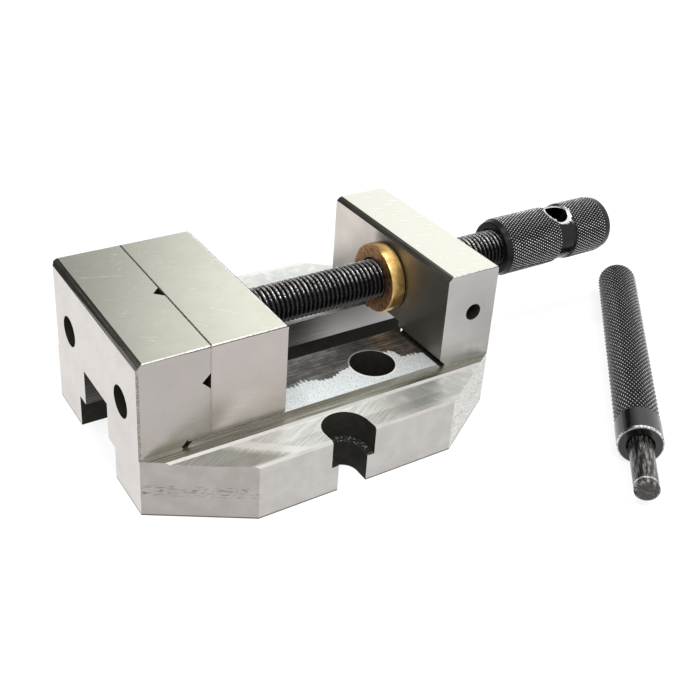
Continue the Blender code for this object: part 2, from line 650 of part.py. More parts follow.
def make_tommy_bar(shop, material, steel):
    """The bar lies on the surface; its own +Z points from the grip to the pin."""
    pivot = shop.pivot("tommy_bar_rest", (BAR_X, BAR_Y, BAR_R), (0.0, math.radians(90.0), BAR_TURN))
    dome_steps = 5
    dome = []
    for step in range(dome_steps + 1):
        angle = math.radians(90.0) * step / dome_steps
        radius = BAR_R - BAR_DOME * (1.0 - math.cos(angle))
        dome.append((radius, -BAR_LENGTH + BAR_DOME * (1.0 - math.sin(angle))))
    profile = [(BAR_BORE_R, 0.0), (BAR_R - BAR_CHAMFER, 0.0), (BAR_R, -BAR_CHAMFER)] + dome
    profile += [(0.0, -BAR_LENGTH), (0.0, -BAR_BORE_DEPTH), (BAR_BORE_R, -BAR_BORE_DEPTH)]
    grip = turned("tommy_bar_grip", profile, ROUND)
    shop.part(grip, material, pivot)
    tip = BAR_PIN_R - BAR_CHAMFER
    profile = [(0.0, BAR_PIN_OUT), (tip, BAR_PIN_OUT), (BAR_PIN_R, BAR_PIN_OUT - BAR_CHAMFER)]
    profile += [(BAR_PIN_R, -BAR_PIN_IN), (0.0, -BAR_PIN_IN)]
    pin = turned("tommy_bar_pin", profile, ROUND)
    shop.part(pin, steel, pivot)


# ---------------------------------------------------------------- assembly

def centre_on_origin(shop):
    """Put the middle of the underside of the parts' bounding box at the world origin."""
    bpy.context.view_layer.update()
    graph = bpy.context.evaluated_depsgraph_get()
    corners = []
    for obj in shop.parts.objects:
        if obj.type == "MESH":
            mesh = obj.evaluated_get(graph).to_mesh()
            corners += [obj.matrix_world @ vertex.co for vertex in mesh.vertices]
            obj.evaluated_get(graph).to_mesh_clear()
    for axis in (0, 1):
        values = [corner[axis] for corner in corners]
        shop.datum.location[axis] = -(min(values) + max(values)) / 2.0


def build():
    clear_scene()
    shop = Workshop()
    ground = make_material("ground_steel", (0.62, 0.62, 0.60), 0.28)
    hard = make_material("hardened_steel", (0.55, 0.55, 0.55), 0.2)
    dark = make_material("black_oxide_steel", (0.03, 0.03, 0.032), 0.38)
    grip = make_material("black_oxide_knurl", (0.025, 0.025, 0.027), 0.45)
    bronze = make_material("nut_bronze", (0.66, 0.42, 0.14), 0.35)

    make_base(shop, ground)
    make_plate(shop, ground)
    make_plate_fasteners(shop, hard, dark)
    make_moving_jaw(shop, ground)
    make_keeper(shop, ground, dark)
    make_screw_retainers(shop, hard)
    spindle_pivot = shop.pivot("spindle_axis", (NOSE_START_X, 0.0, SCREW_Z))
    make_spindle(shop, spindle_pivot, dark)
    make_knob(shop, spindle_pivot, grip, hard)
    make_nut(shop, bronze, dark)
    make_tommy_bar(shop, grip, dark)
    centre_on_origin(shop)
    for obj in shop.parts.objects:
        if obj.type == "MESH":
            shade_round(obj)


build()
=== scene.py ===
import json
import math
import random

import bmesh
import bpy
from mathutils import Matrix, Vector

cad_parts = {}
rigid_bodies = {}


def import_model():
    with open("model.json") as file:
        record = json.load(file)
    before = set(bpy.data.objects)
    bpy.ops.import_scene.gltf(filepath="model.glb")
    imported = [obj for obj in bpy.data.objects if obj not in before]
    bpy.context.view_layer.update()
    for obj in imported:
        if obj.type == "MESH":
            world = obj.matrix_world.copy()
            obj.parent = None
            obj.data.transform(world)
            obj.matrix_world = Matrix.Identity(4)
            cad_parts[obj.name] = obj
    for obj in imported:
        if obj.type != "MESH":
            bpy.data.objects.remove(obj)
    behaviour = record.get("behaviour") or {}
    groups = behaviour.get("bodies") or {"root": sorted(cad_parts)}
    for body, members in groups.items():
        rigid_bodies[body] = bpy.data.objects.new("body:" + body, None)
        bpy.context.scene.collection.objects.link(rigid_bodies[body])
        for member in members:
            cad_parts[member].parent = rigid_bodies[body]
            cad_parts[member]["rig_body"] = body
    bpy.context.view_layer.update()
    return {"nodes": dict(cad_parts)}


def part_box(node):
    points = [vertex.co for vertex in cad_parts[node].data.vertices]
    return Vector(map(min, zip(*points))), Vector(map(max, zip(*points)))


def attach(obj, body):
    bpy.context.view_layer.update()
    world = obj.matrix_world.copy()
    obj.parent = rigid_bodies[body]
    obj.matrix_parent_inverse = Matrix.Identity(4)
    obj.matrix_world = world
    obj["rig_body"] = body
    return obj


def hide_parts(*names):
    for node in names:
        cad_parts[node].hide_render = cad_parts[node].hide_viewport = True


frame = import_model()

# Looks of the machine vise. Lengths are in millimetres in the vise's own coordinates:
# X from the fixed-jaw end towards the knob, Y across the jaws from the middle, Z up
# from the underside. MM turns them into the frame's metres.
MM = 0.001
BASE_LOW, BASE_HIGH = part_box("base_body")
DATUM = Vector((BASE_LOW.x, (BASE_LOW.y + BASE_HIGH.y) / 2.0, 0.0))

JAW_HALF = 30.0
FLANGE_HALF = 45.5
BASE_LENGTH = 111.1
BED_Z = 18.4
TOP_Z = 45.0                        # everything above this is the top of a block
WIDEST_EDGE = 0.45                  # widths of the broken edges
FOOT_EDGE = 0.3
BASE_EDGE = 0.14
BLOCK_EDGE = 0.03
FASTENER_EDGE = 0.08
SMALL_FACET = 8.0                   # square millimetres: smaller faces belong to round bores
SHARP = math.radians(30.0)
LEDGE_Z = 17.1
BLOCK_FRONT_X = 13.3
PLATE_FRONT_X = 19.6
JAW_HAIRLINE = 0.09                 # gap drawn between the shut jaws
TOUCHING = 0.001                    # a face this close reads as lying against its neighbour
JAW_REAR_X = 41.6
REAR_FACE_X = 93.2
SLOT_HALF = 8.5
CHANNEL_HALF = 13.1
CHANNEL_STEP_Z = 9.0                # the channel is narrower above this
COVE_START_Y = 33.2
CLAMP_SLOT_X = 54.1
CLAMP_HEAD_R = 6.75
CLAMP_POCKET_Y = 34.0               # the clamp slot's walls lie beyond this
CLAMP_POCKET_Z = 16.3               # and below this
BED_HOLE_X = 75.6
BED_HOLE_Y = 20.9
BED_HOLE_R = 6.7

SCREW_Z = 33.0
THREAD_PITCH = 1.5
THREAD_CREST_R = 6.0
THREAD_ROOT_R = 5.08
THREAD_START_X = 42.3
THREAD_END_X = 137.6
SCREW_GLINT_Z = 36.0                     # above this the screw's worn crests show bright, a painted highlight on the upper side

NUT_FLANGE_X = 88.3
NUT_FLANGE_R = 10.7
NUT_BARREL_R = 8.0
NUT_END_X = 110.6
NUT_BORE_R = 6.15

KNOB_R = 9.5
KNOB_WAIST_R = 8.8
KNOB_START_X = 134.3
KNOB_END_X = 179.6
KNURL_STARTS = 58
CROSS_HOLE_X = 159.3
CROSS_HOLE_R = 3.9
CROSS_HOLE_TILT = math.radians(13.0)

BAR_X = 131.0
BAR_Y = -76.6
BAR_R = 6.7
BAR_TURN = math.radians(-131.1)
BAR_LENGTH = 103.3
BAR_COLLAR = 9.6
BAR_DOME = 5.4
BAR_STARTS = 34
BAR_PIN_R = 3.5
BAR_PIN_OUT = 20.15
BAR_PIN_IN = 16.0
BAR_BORE_R = 3.8
BAR_BORE_DEPTH = 16.5

KNURL_DEPTH = 0.42
KNURL_WEAR = 0.05
KNURL_ANGLE = math.radians(30.0)

random.seed(7)


# ---------------------------------------------------------------- small helpers

def at(x, y, z):
    """World place of a point in the vise's own millimetres."""
    return DATUM + Vector((x, y, z)) * MM


def in_mm(point):
    """A world point in the vise's own millimetres."""
    return (point - DATUM) / MM


def tone(red, green, blue):
    """Linear colour of an sRGB tone given from 0 to 255."""
    def linear(value):
        value = value / 255.0
        return value / 12.92 if value <= 0.04045 else ((value + 0.055) / 1.055) ** 2.4
    return (linear(red), linear(green), linear(blue))


def add_piece(name, mesh, body, nodes, place=None):
    """New object on a CAD body. A place moves the mesh itself, not the object."""
    if place is not None:
        mesh.transform(place)
    obj = bpy.data.objects.new(name, mesh)
    bpy.context.scene.collection.objects.link(obj)
    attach(obj, body)
    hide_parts(*nodes)
    return obj


# ---------------------------------------------------------------- material graphs

class Graph:
    """Node tree of one Principled material, with a short call for each kind of node."""

    def __init__(self, name, origin=(0.0, 0.0, 0.0), turn=0.0):
        self.material = bpy.data.materials.new(name)
        self.material.use_nodes = True
        self.tree = self.material.node_tree
        self.shader = self.tree.nodes["Principled BSDF"]
        coordinates = self.tree.nodes.new("ShaderNodeTexCoord")
        start = at(*origin) / MM
        moved = self.mapped(coordinates.outputs["Object"], -start, (1.0 / MM,) * 3)
        self.mm = self.mapped(moved, turn=-turn)
        self.x, self.y, self.z = self.parts(self.mm)

    def feed(self, socket, value):
        """Link a socket to another node's output, or set it to a number or a colour."""
        if isinstance(value, bpy.types.NodeSocket):
            self.tree.links.new(value, socket)
        elif isinstance(value, tuple) and socket.type == "RGBA":
            socket.default_value = (*value[:3], 1.0)
        else:
            socket.default_value = value

    def parts(self, vector):
        node = self.tree.nodes.new("ShaderNodeSeparateXYZ")
        self.feed(node.inputs["Vector"], vector)
        return node.outputs

    def mapped(self, vector, location=(0.0, 0.0, 0.0), scale=(1.0, 1.0, 1.0), turn=0.0):
        """A vector scaled, turned about Z and then moved."""
        node = self.tree.nodes.new("ShaderNodeMapping")
        self.feed(node.inputs["Vector"], vector)
        node.inputs["Location"].default_value = location
        node.inputs["Scale"].default_value = scale
        node.inputs["Rotation"].default_value = (0.0, 0.0, turn)
        return node.outputs["Vector"]

    def maths(self, operation, first, second=0.5):
        node = self.tree.nodes.new("ShaderNodeMath")
        node.operation = operation
        for socket, value in zip(node.inputs, (first, second)):
            self.feed(socket, value)
        return node.outputs["Value"]

    def times(self, first, second):
        return self.maths("MULTIPLY", first, second)

    def noise(self, scale, vector=None, detail=2.0, roughness=0.5):
        node = self.tree.nodes.new("ShaderNodeTexNoise")
        self.feed(node.inputs["Vector"], vector or self.mm)
        node.inputs["Scale"].default_value = scale
        node.inputs["Detail"].default_value = detail
        node.inputs["Roughness"].default_value = roughness
        return node.outputs["Fac"]

    def smooth(self, value, low, high, to_low=0.0, to_high=1.0):
        """Smooth step of a value from one range to another."""
        node = self.tree.nodes.new("ShaderNodeMapRange")
        node.interpolation_type = "SMOOTHSTEP"
        limits = {"From Min": low, "From Max": high, "To Min": to_low, "To Max": to_high}
        for name, number in limits.items():
            node.inputs[name].default_value = number
        self.feed(node.inputs["Value"], value)
        return node.outputs["Result"]

    def blend(self, factor, first, second):
        """Mix two colours. The Mix node keeps its colour sockets at 6, 7 and 2."""
        node = self.tree.nodes.new("ShaderNodeMix")
        node.data_type = "RGBA"
        for index, value in ((0, factor), (6, first), (7, second)):
            self.feed(node.inputs[index], value)
        return node.outputs[2]

    def bump(self, height, depth, under=None):
        """Bump of a height from 0 to 1 that stands for a depth in millimetres."""
        node = self.tree.nodes.new("ShaderNodeBump")
        node.inputs["Strength"].default_value = 1.0
        node.inputs["Distance"].default_value = depth * MM
        self.feed(node.inputs["Height"], height)
        if under is not None:
            self.feed(node.inputs["Normal"], under)
        return node.outputs["Normal"]

    def streaks(self, turn, length, width, low, high):
        """Sparse straight scratches at an angle to X, as a mask."""
        turned = self.mapped(self.mm, turn=turn)
        stretched = self.mapped(turned, scale=(1.0 / length, 1.0 / width, 1.0 / length))
        return self.smooth(self.noise(1.0, stretched, 1.0), low, high)

    def line_mark(self, start, end, half_width):
        """One straight scratch between two points on a level face, as a mask."""
        middle = ((start[0] + end[0]) / 2.0, (start[1] + end[1]) / 2.0)
        turn = -math.atan2(end[1] - start[1], end[0] - start[0])
        length = math.hypot(end[0] - start[0], end[1] - start[1])
        moved = self.mapped(self.mm, (-middle[0], -middle[1], 0.0))
        along, across, _ = self.parts(self.mapped(moved, turn=turn))
        across = self.smooth(self.maths("ABSOLUTE", across), half_width, half_width * 0.3)
        along = self.smooth(self.maths("ABSOLUTE", along), length * 0.5, length * 0.42)
        broken = self.smooth(self.noise(0.5), 0.32, 0.5)
        return self.times(self.times(across, along), broken)

    def reach(self, first, second):
        """Distance from the origin of a point given by two lengths."""
        squares = [self.maths("POWER", value, 2.0) for value in (first, second)]
        return self.maths("SQRT", self.maths("ADD", *squares))

    def finish(self, colour, roughness, normal=None, metallic=1.0, specular=0.5):
        """Feed the shader, and hand over the finished material."""
        inputs = self.shader.inputs
        inputs["Specular IOR Level"].default_value = specular
        self.feed(inputs["Base Color"], colour)
        self.feed(inputs["Roughness"], roughness)
        self.feed(inputs["Metallic"], metallic)
        if normal is not None:
            self.feed(inputs["Normal"], normal)
        return self.material


def mottled(graph, colour, amount, scale=0.12):
    """A colour with a soft, slow change of brightness over the surface."""
    dark = tuple(c * (1.0 - amount) for c in colour)
    light = tuple(min(1.0, c * (1.0 + amount)) for c in colour)
    return graph.blend(graph.smooth(graph.noise(scale, None, 3.0), 0.35, 0.65), dark, light)


def contact_shadow_line(graph, colour):
    """Thin dark line of painted contact shadow along the bottom edge, where the vise stands on the
    floor.
    """
    line = graph.times(graph.smooth(graph.z, 0.55, 0.3), 0.8)
    return graph.blend(line, colour, tone(66, 64, 60))


def on_rear_block(graph):
    """Mask of the rear block, with the two jaws left out."""
    return graph.smooth(graph.x, 60.0, 80.0)


def lay_lines(graph, turn, spacing, reach=12.0):
    """Fine parallel machining lines at an angle to X."""
    turned = graph.mapped(graph.mm, turn=turn)
    stretched = graph.mapped(turned, scale=(1.0 / reach, 1.0 / spacing, 1.0 / spacing))
    return graph.noise(1.0, stretched, 3.0, 0.6)


def ground_top():
    """Tops of the jaws and the rear block: lengthwise grinding, with a few scratches, and painted
    shade towards the far corner of the jaws.
    """
    graph = Graph("steel_ground_top")
    jaws = mottled(graph, tone(234, 233, 218), 0.03)
    base = graph.blend(on_rear_block(graph), jaws, tone(222, 222, 210))
    scratches = graph.streaks(math.radians(20.0), 5.0, 0.3, 0.72, 0.76)
    crossing = graph.streaks(math.radians(-35.0), 4.0, 0.3, 0.74, 0.78)
    marks = graph.maths("MAXIMUM", scratches, crossing)
    for first, last in (((1.2, 17.0), (14.3, 12.2)), ((5.2, -18.3), (9.9, -20.4)),
                        ((7.6, -20.9), (9.2, -23.0)), ((27.4, -13.4), (31.6, -17.8)),
                        ((20.8, -18.4), (23.0, -21.4))):
        marks = graph.maths("MAXIMUM", marks, graph.line_mark(first, last, 0.2))
    # painted shade: the jaws' tops darken towards their far corner
    far = graph.smooth(graph.maths("SUBTRACT", graph.y, graph.x), -45.0, 25.0)
    far = graph.times(far, graph.smooth(graph.x, 60.0, 50.0))
    base = graph.blend(far, base, tone(204, 203, 190))
    colour = graph.blend(graph.times(marks, 0.95), base, tone(255, 255, 252))
    lines = lay_lines(graph, 0.0, 0.35)
    roughness = graph.smooth(lines, 0.3, 0.7, 0.2, 0.25)
    return graph.finish(colour, roughness, graph.bump(lines, 0.0004))


def ground_side():
    """Sides of the blocks: each block was ground apart, so their tones differ a little. Painted
    shade darkens their lower part, most on the moving jaw.
    """
    graph = Graph("steel_ground_side")
    fixed_to_moving = graph.smooth(graph.x, PLATE_FRONT_X, PLATE_FRONT_X + 1.0)
    base = graph.blend(fixed_to_moving, tone(172, 166, 162), tone(181, 173, 169))
    base = graph.blend(on_rear_block(graph), base, tone(194, 192, 190))
    cloud = graph.smooth(graph.noise(0.12, None, 3.0), 0.35, 0.65, 0.0, 0.12)
    base = graph.blend(cloud, base, tone(150, 144, 142))
    # patchy olive darkening towards the foot of the sides
    foot = graph.smooth(graph.z, 27.0, 18.5)
    patchy_foot_tone = graph.times(foot, graph.smooth(graph.noise(0.2, None, 3.0), 0.3, 0.6))
    base = graph.blend(graph.times(patchy_foot_tone, 0.3), base, tone(118, 112, 98))
    # painted shade: darker towards the bottom of the moving jaw's side, a little on the rear
    # block's
    low = graph.times(graph.smooth(graph.z, 38.0, 20.0), graph.smooth(graph.x, 17.0, 20.0))
    low = graph.times(low, graph.smooth(graph.x, 60.0, 50.0, 0.25, 1.0))
    base = graph.blend(graph.times(low, 0.5), base, tone(138, 132, 127))
    specks = graph.smooth(graph.noise(1.4, None, 2.0), 0.745, 0.775)
    colour = graph.blend(graph.times(specks, 0.2), base, tone(110, 100, 96))
    lines = lay_lines(graph, 0.0, 0.4, 18.0)
    roughness = graph.smooth(lines, 0.3, 0.7, 0.22, 0.28)
    roughness = graph.times(roughness, graph.smooth(graph.x, 70.0, 90.0, 1.0, 1.9))
    return graph.finish(colour, roughness, graph.bump(lines, 0.0004))


def ground_end():
    """End faces of the base: an even grey with a few dark specks."""
    graph = Graph("steel_ground_end")
    base = mottled(graph, tone(209, 204, 200), 0.03)
    specks = graph.smooth(graph.noise(1.2, None, 2.0), 0.71, 0.75)
    colour = graph.blend(graph.times(specks, 0.6), base, tone(120, 110, 108))
    roughness = graph.smooth(graph.noise(0.8, None, 3.0), 0.3, 0.7, 0.32, 0.42)
    return graph.finish(contact_shadow_line(graph, colour), roughness, graph.bump(graph.noise(3.0), 0.001))


def rear_face():
    """Inner face over the bed: clean at the far side, with a painted dark reflection around and
    below the nut.
    """
    graph = Graph("steel_ground_inner_face")
    base = mottled(graph, tone(216, 209, 202), 0.05)
    # painted dark reflection over the near part of the face, round the nut, with a ragged edge
    reflection_wobble = graph.times(graph.noise(0.25, None, 3.0), 9.0)
    side = graph.maths("ADD", graph.y, reflection_wobble)
    painted_dark_reflection = graph.smooth(side, 14.0, 5.0)
    colour = graph.blend(graph.times(painted_dark_reflection, 0.85), base, tone(92, 89, 81))
    lines = lay_lines(graph, 0.0, 0.4)
    roughness = graph.smooth(lines, 0.3, 0.7, 0.42, 0.52)
    return graph.finish(colour, roughness, graph.bump(lines, 0.0006))


def dark_chamfer():
    """Wide chamfers at the ends of the blocks, ground across."""
    graph = Graph("steel_chamfer")
    lines = lay_lines(graph, math.radians(90.0), 0.3)
    colour = graph.blend(graph.smooth(lines, 0.35, 0.7), tone(118, 114, 106), tone(172, 169, 160))
    return graph.finish(colour, 0.34, graph.bump(lines, 0.004))


def edge_wear_and_painted_shade():
    """Broken edges: bright where they wear, with painted shade in the lower part of the top edges
    and a painted contact shadow at the foot.

    The rear block is 1 mm taller than the jaws, so its top edges are looked at 1 mm down.
    """
    graph = Graph("steel_edge_wear_and_painted_shade")
    nicks = graph.smooth(graph.noise(1.6, None, 3.0), 0.45, 0.62)
    worn = graph.times(nicks, 0.6)
    colour = graph.blend(worn, tone(232, 231, 224), tone(150, 147, 138))
    # painted shade along the lower part of the top edges, and painted contact shadow at the foot
    height = graph.maths("SUBTRACT", graph.z, graph.smooth(graph.x, 80.0, 82.0))
    above = graph.smooth(height, 45.0, 45.1)
    below = graph.smooth(height, 45.54, 45.48)
    foot = graph.times(graph.smooth(graph.z, 0.4, 0.25), 0.85)
    painted_edge_shade = graph.times(graph.times(above, below), 0.9)
    colour = graph.blend(graph.maths("MAXIMUM", painted_edge_shade, foot), colour, tone(74, 72, 66))
    return graph.finish(colour, graph.smooth(nicks, 0.0, 1.0, 0.25, 0.45))


def bed_surface():
    """Bright cross-ground strip along the outer edge, smoother dark strip along the slot. The
    bright strip's near-white is partly painted light, and the dark strip is partly a painted dark
    reflection.
    """
    graph = Graph("steel_bed")
    away = graph.maths("ABSOLUTE", graph.y)
    teeth = graph.maths("PINGPONG", graph.times(graph.x, 0.9), 0.6)
    ragged = graph.noise(1.3, graph.mapped(graph.mm, scale=(1.0, 0.3, 1.0)), 2.0)
    drift = graph.noise(0.09, None, 2.0)
    edge = graph.maths("ADD", away, graph.times(teeth, 1.6))
    edge = graph.maths("ADD", edge, graph.times(ragged, 2.2))
    edge = graph.maths("ADD", edge, graph.times(drift, 8.0))
    edge = graph.maths("ADD", edge, graph.smooth(graph.x, 70.0, 76.0, 0.0, 3.0))
    edge = graph.maths("SUBTRACT", edge, graph.smooth(graph.x, 84.0, 86.0, 0.0, 5.0))
    # partly painted light and painted dark reflection: the two strips' tones stand partly for how
    # light falls on the bed
    bright = graph.smooth(edge, 25.4, 26.1)
    grain = graph.noise(2.6, graph.mapped(graph.mm, turn=0.6, scale=(1.0, 2.2, 1.0)), 4.0, 0.7)
    coarse = graph.noise(0.35, None, 2.0)
    lines = lay_lines(graph, 0.0, 0.35, 9.0)
    light = graph.blend(graph.smooth(grain, 0.4, 0.5), tone(172, 182, 184), tone(248, 252, 252))
    dark = graph.blend(graph.smooth(lines, 0.45, 0.7), tone(124, 119, 117), tone(196, 194, 192))
    dark = graph.blend(graph.smooth(coarse, 0.4, 0.65, 0.0, 0.5), dark, tone(90, 85, 85))
    along = graph.maths("SUBTRACT", graph.x, BED_HOLE_X)
    across = graph.maths("SUBTRACT", away, BED_HOLE_Y)
    rim = graph.smooth(graph.reach(along, across), BED_HOLE_R + 0.55, BED_HOLE_R + 0.35)
    colour = graph.blend(bright, dark, light)
    colour = graph.blend(graph.times(rim, 0.8), colour, tone(250, 252, 252))
    roughness = graph.smooth(bright, 0.0, 1.0, 0.4, 0.6)
    normal = graph.bump(grain, 0.03, graph.bump(lines, 0.003))
    return graph.finish(colour, roughness, normal)


def ledge():
    """Narrow step between the bed and the flange, milled lengthwise."""
    graph = Graph("steel_ledge")
    lines = lay_lines(graph, 0.0, 0.3, 20.0)
    specks = graph.noise(3.0, None, 3.0, 0.7)
    colour = graph.blend(graph.smooth(lines, 0.35, 0.65), tone(124, 123, 110), tone(190, 190, 179))
    colour = graph.blend(graph.smooth(specks, 0.6, 0.7), colour, tone(228, 227, 216))
    return graph.finish(colour, 0.38, graph.bump(lines, 0.006))


def milled_cove():
    """Fly-cut flange top: shallow arcs across the flange, with painted shade in the corner at the
    end, a painted highlight streak beside it, and painted light towards the rear.
    """
    graph = Graph("steel_milled_cove")
    away = graph.maths("ABSOLUTE", graph.y)
    lines = lay_lines(graph, math.radians(-30.0), 0.5, 14.0)
    arcs = lay_lines(graph, math.radians(62.0), 0.45, 9.0)
    right = graph.smooth(graph.x, 66.0, 72.0)
    cuts = graph.blend(right, lines, arcs)
    contrast = graph.smooth(graph.noise(0.25, None, 2.0), 0.3, 0.6)
    light = graph.blend(contrast, tone(230, 232, 225), tone(212, 215, 208))
    colour = graph.blend(graph.smooth(cuts, 0.38, 0.62), light, tone(242, 244, 238))
    # painted shade in the corner at the fixed end, and a painted highlight streak beside it
    slant = graph.maths("SUBTRACT", graph.x, graph.times(away, 1.3))
    shade = graph.smooth(slant, -21.0, -25.5)
    colour = graph.blend(graph.times(shade, 0.5), colour, tone(118, 118, 104))
    streak = graph.smooth(graph.maths("ABSOLUTE", graph.maths("ADD", slant, 19.0)), 3.2, 1.6)
    colour = graph.blend(graph.times(streak, 0.9), colour, tone(254, 254, 250))
    patches = graph.smooth(graph.noise(0.3, None, 3.0), 0.25, 0.55)
    inner = graph.smooth(away, 43.6, 42.6)
    blue = graph.times(graph.times(right, patches), inner)
    # painted light: lighter towards the rear
    colour = graph.blend(graph.times(right, 0.5), colour, tone(255, 255, 252))
    colour = graph.blend(graph.times(blue, 0.3), colour, tone(150, 158, 160))
    rim = graph.smooth(away, 44.1, 44.5)
    colour = graph.blend(graph.times(rim, 0.6), colour, tone(248, 248, 244))
    return graph.finish(colour, 0.42, graph.bump(cuts, 0.008))


def flange_side():
    """Long sides of the flanges, with a few pits."""
    graph = Graph("steel_flange_side")
    base = mottled(graph, tone(184, 181, 178), 0.05, 0.2)
    lines = lay_lines(graph, 0.0, 0.5, 16.0)
    pits = graph.smooth(graph.noise(1.1, None, 2.0), 0.72, 0.76)
    colour = graph.blend(graph.times(pits, 0.5), base, tone(120, 116, 110))
    return graph.finish(contact_shadow_line(graph, colour), 0.4, graph.bump(lines, 0.003))


def chattered_side():
    """Diagonal flange faces, with a broken row of chatter marks half way up, lighter towards the
    rear block, with painted glints there.
    """
    graph = Graph("steel_chattered_side")
    right = graph.smooth(graph.x, 50.0, 60.0)
    base = graph.blend(right, mottled(graph, tone(166, 161, 157), 0.05, 0.2), tone(192, 191, 187))
    height = graph.maths("ABSOLUTE", graph.maths("SUBTRACT", graph.z, 8.2))
    band = graph.smooth(height, 2.2, 1.0)
    dashes = graph.noise(1.0, graph.mapped(graph.mm, scale=(0.5, 0.5, 3.2)), 2.0)
    marks = graph.times(band, graph.smooth(dashes, 0.55, 0.63))
    colour = graph.blend(graph.times(marks, 0.75), base, tone(96, 92, 86))
    grain = graph.noise(2.0, None, 4.0, 0.7)
    # painted glints on the part towards the rear block
    sparkle = graph.times(right, graph.smooth(grain, 0.52, 0.6))
    colour = graph.blend(sparkle, colour, tone(246, 246, 242))
    return graph.finish(contact_shadow_line(graph, colour), 0.42, graph.bump(grain, 0.008))


def dark_bore():
    """Unlit walls of holes and hidden faces."""
    graph = Graph("steel_dark_bore")
    colour = mottled(graph, tone(34, 33, 29), 0.15, 0.5)
    return graph.finish(colour, 0.75, graph.bump(graph.noise(2.0), 0.01), 0.0, 0.1)


def seat_ring():
    """Rough counterbore floor: black with broken bright cutter sparkles."""
    graph = Graph("steel_clamp_seat")
    grain = graph.noise(1.5, None, 3.0, 0.7)
    colour = graph.blend(graph.smooth(grain, 0.58, 0.66), tone(36, 36, 32), tone(235, 236, 230))
    metal = graph.smooth(grain, 0.56, 0.66)
    return graph.finish(colour, 0.4, graph.bump(grain, 0.1), metal, 0.1)


def slot_wall():
    """Walls of the guide slot, with painted light making them brighter towards the rear block."""
    graph = Graph("steel_slot_wall")
    lines = lay_lines(graph, 0.0, 0.4, 10.0)
    lit = graph.smooth(graph.x, 66.0, 84.0)
    colour = graph.blend(lit, tone(82, 78, 76), tone(176, 174, 172))
    colour = graph.blend(graph.smooth(lines, 0.5, 0.8, 0.0, 0.3), colour, tone(190, 188, 184))
    return graph.finish(colour, 0.35, graph.bump(lines, 0.004))


def bronze():
    """Turned bronze: brown tarnish on the face, cleaner gold on the rim."""
    graph = Graph("bronze_turned", (0.0, 0.0, SCREW_Z))
    radius = graph.reach(graph.y, graph.z)
    rim = graph.smooth(radius, NUT_FLANGE_R - 0.5, NUT_FLANGE_R - 0.15)
    tarnish = graph.smooth(graph.noise(0.7, None, 4.0, 0.6), 0.35, 0.7)
    face = graph.blend(tarnish, tone(158, 120, 82), tone(104, 74, 50))
    clean = graph.blend(graph.times(tarnish, 0.6), tone(205, 172, 110), tone(164, 120, 68))
    colour = graph.blend(rim, face, clean)
    rings = graph.noise(3.5, graph.mapped(graph.mm, scale=(1.0, 0.05, 0.05)), 2.0)
    roughness = graph.smooth(rim, 0.0, 1.0, 0.45, 0.28)
    return graph.finish(colour, roughness, graph.bump(rings, 0.003))


def black_oxide(name, colour, roughness, wear, specular, worn_tone=tone(226, 225, 223),
                place=(), detail=None, glint_side=None):
    """Blackened steel. Crests marked in the mesh wear through to brighter metal.

    place gives the piece's own origin and turn. detail gives a mask of bare metal, a
    mask of glossy blacking, the share of light which that gloss mirrors, and its
    roughness as a share of the rest's. Above a height (the last argument) the crests'
    wear shows in flecks, as a painted highlight on the upper side.
    """
    graph = Graph(name, *place)
    base = mottled(graph, colour, 0.25, 0.4)
    crest = graph.tree.nodes.new("ShaderNodeAttribute")
    crest.attribute_name = "crest"
    patches = graph.smooth(graph.noise(0.9, None, 3.0), 0.3, 0.55, 0.45, 1.0)
    worn = graph.times(graph.smooth(crest.outputs["Fac"], 0.5, 0.82), patches)
    worn = graph.times(worn, wear)
    # painted highlight: the crests' wear shows only above the given height, on the upper side
    if glint_side is not None:
        fleck = graph.smooth(graph.noise(2.0, None, 2.0), 0.42, 0.56, 0.1, 1.0)
        side = graph.smooth(graph.z, glint_side, glint_side + 2.6, 0.03, 1.0)
        worn = graph.times(worn, graph.times(fleck, side))
    grain = graph.noise(0.6, None, 3.0)
    rough = graph.smooth(grain, 0.3, 0.7, roughness * 0.85, roughness * 1.15)
    metal = worn
    if detail is not None:
        bare, gloss, mirror, smoother = detail(graph)
        base = graph.blend(gloss, base, (mirror,) * 3)
        rough = graph.times(rough, graph.smooth(gloss, 0.0, 1.0, 1.0, smoother))
        worn = graph.maths("MAXIMUM", worn, bare)
        metal = graph.maths("MAXIMUM", worn, gloss)
    colour = graph.blend(worn, base, worn_tone)
    normal = graph.bump(graph.noise(3.0, None, 3.0), 0.004)
    return graph.finish(colour, rough, normal, metal, specular)


def hole_rim(graph):
    """Bare ragged metal round the knob's cross hole, widest on the side of the end."""
    across = graph.times(graph.y, math.cos(CROSS_HOLE_TILT))
    across = graph.maths("ADD", across, graph.times(graph.z, math.sin(CROSS_HOLE_TILT)))
    radius = graph.reach(graph.x, across)
    ragged = graph.smooth(graph.x, -2.0, 4.0, 0.6, 2.2)
    ragged = graph.times(graph.noise(1.1, None, 3.0), ragged)
    outside = graph.maths("SUBTRACT", radius, ragged)
    outside = graph.smooth(outside, CROSS_HOLE_R + 0.35, CROSS_HOLE_R - 0.05)
    wall = graph.smooth(radius, CROSS_HOLE_R + 0.02, CROSS_HOLE_R + 0.1)
    bare = graph.times(graph.times(outside, wall), 0.95)
    waist = graph.maths("ABSOLUTE", graph.maths("SUBTRACT", graph.x, 1.0))
    return bare, graph.smooth(waist, 3.2, 2.6), 0.0246, 0.94


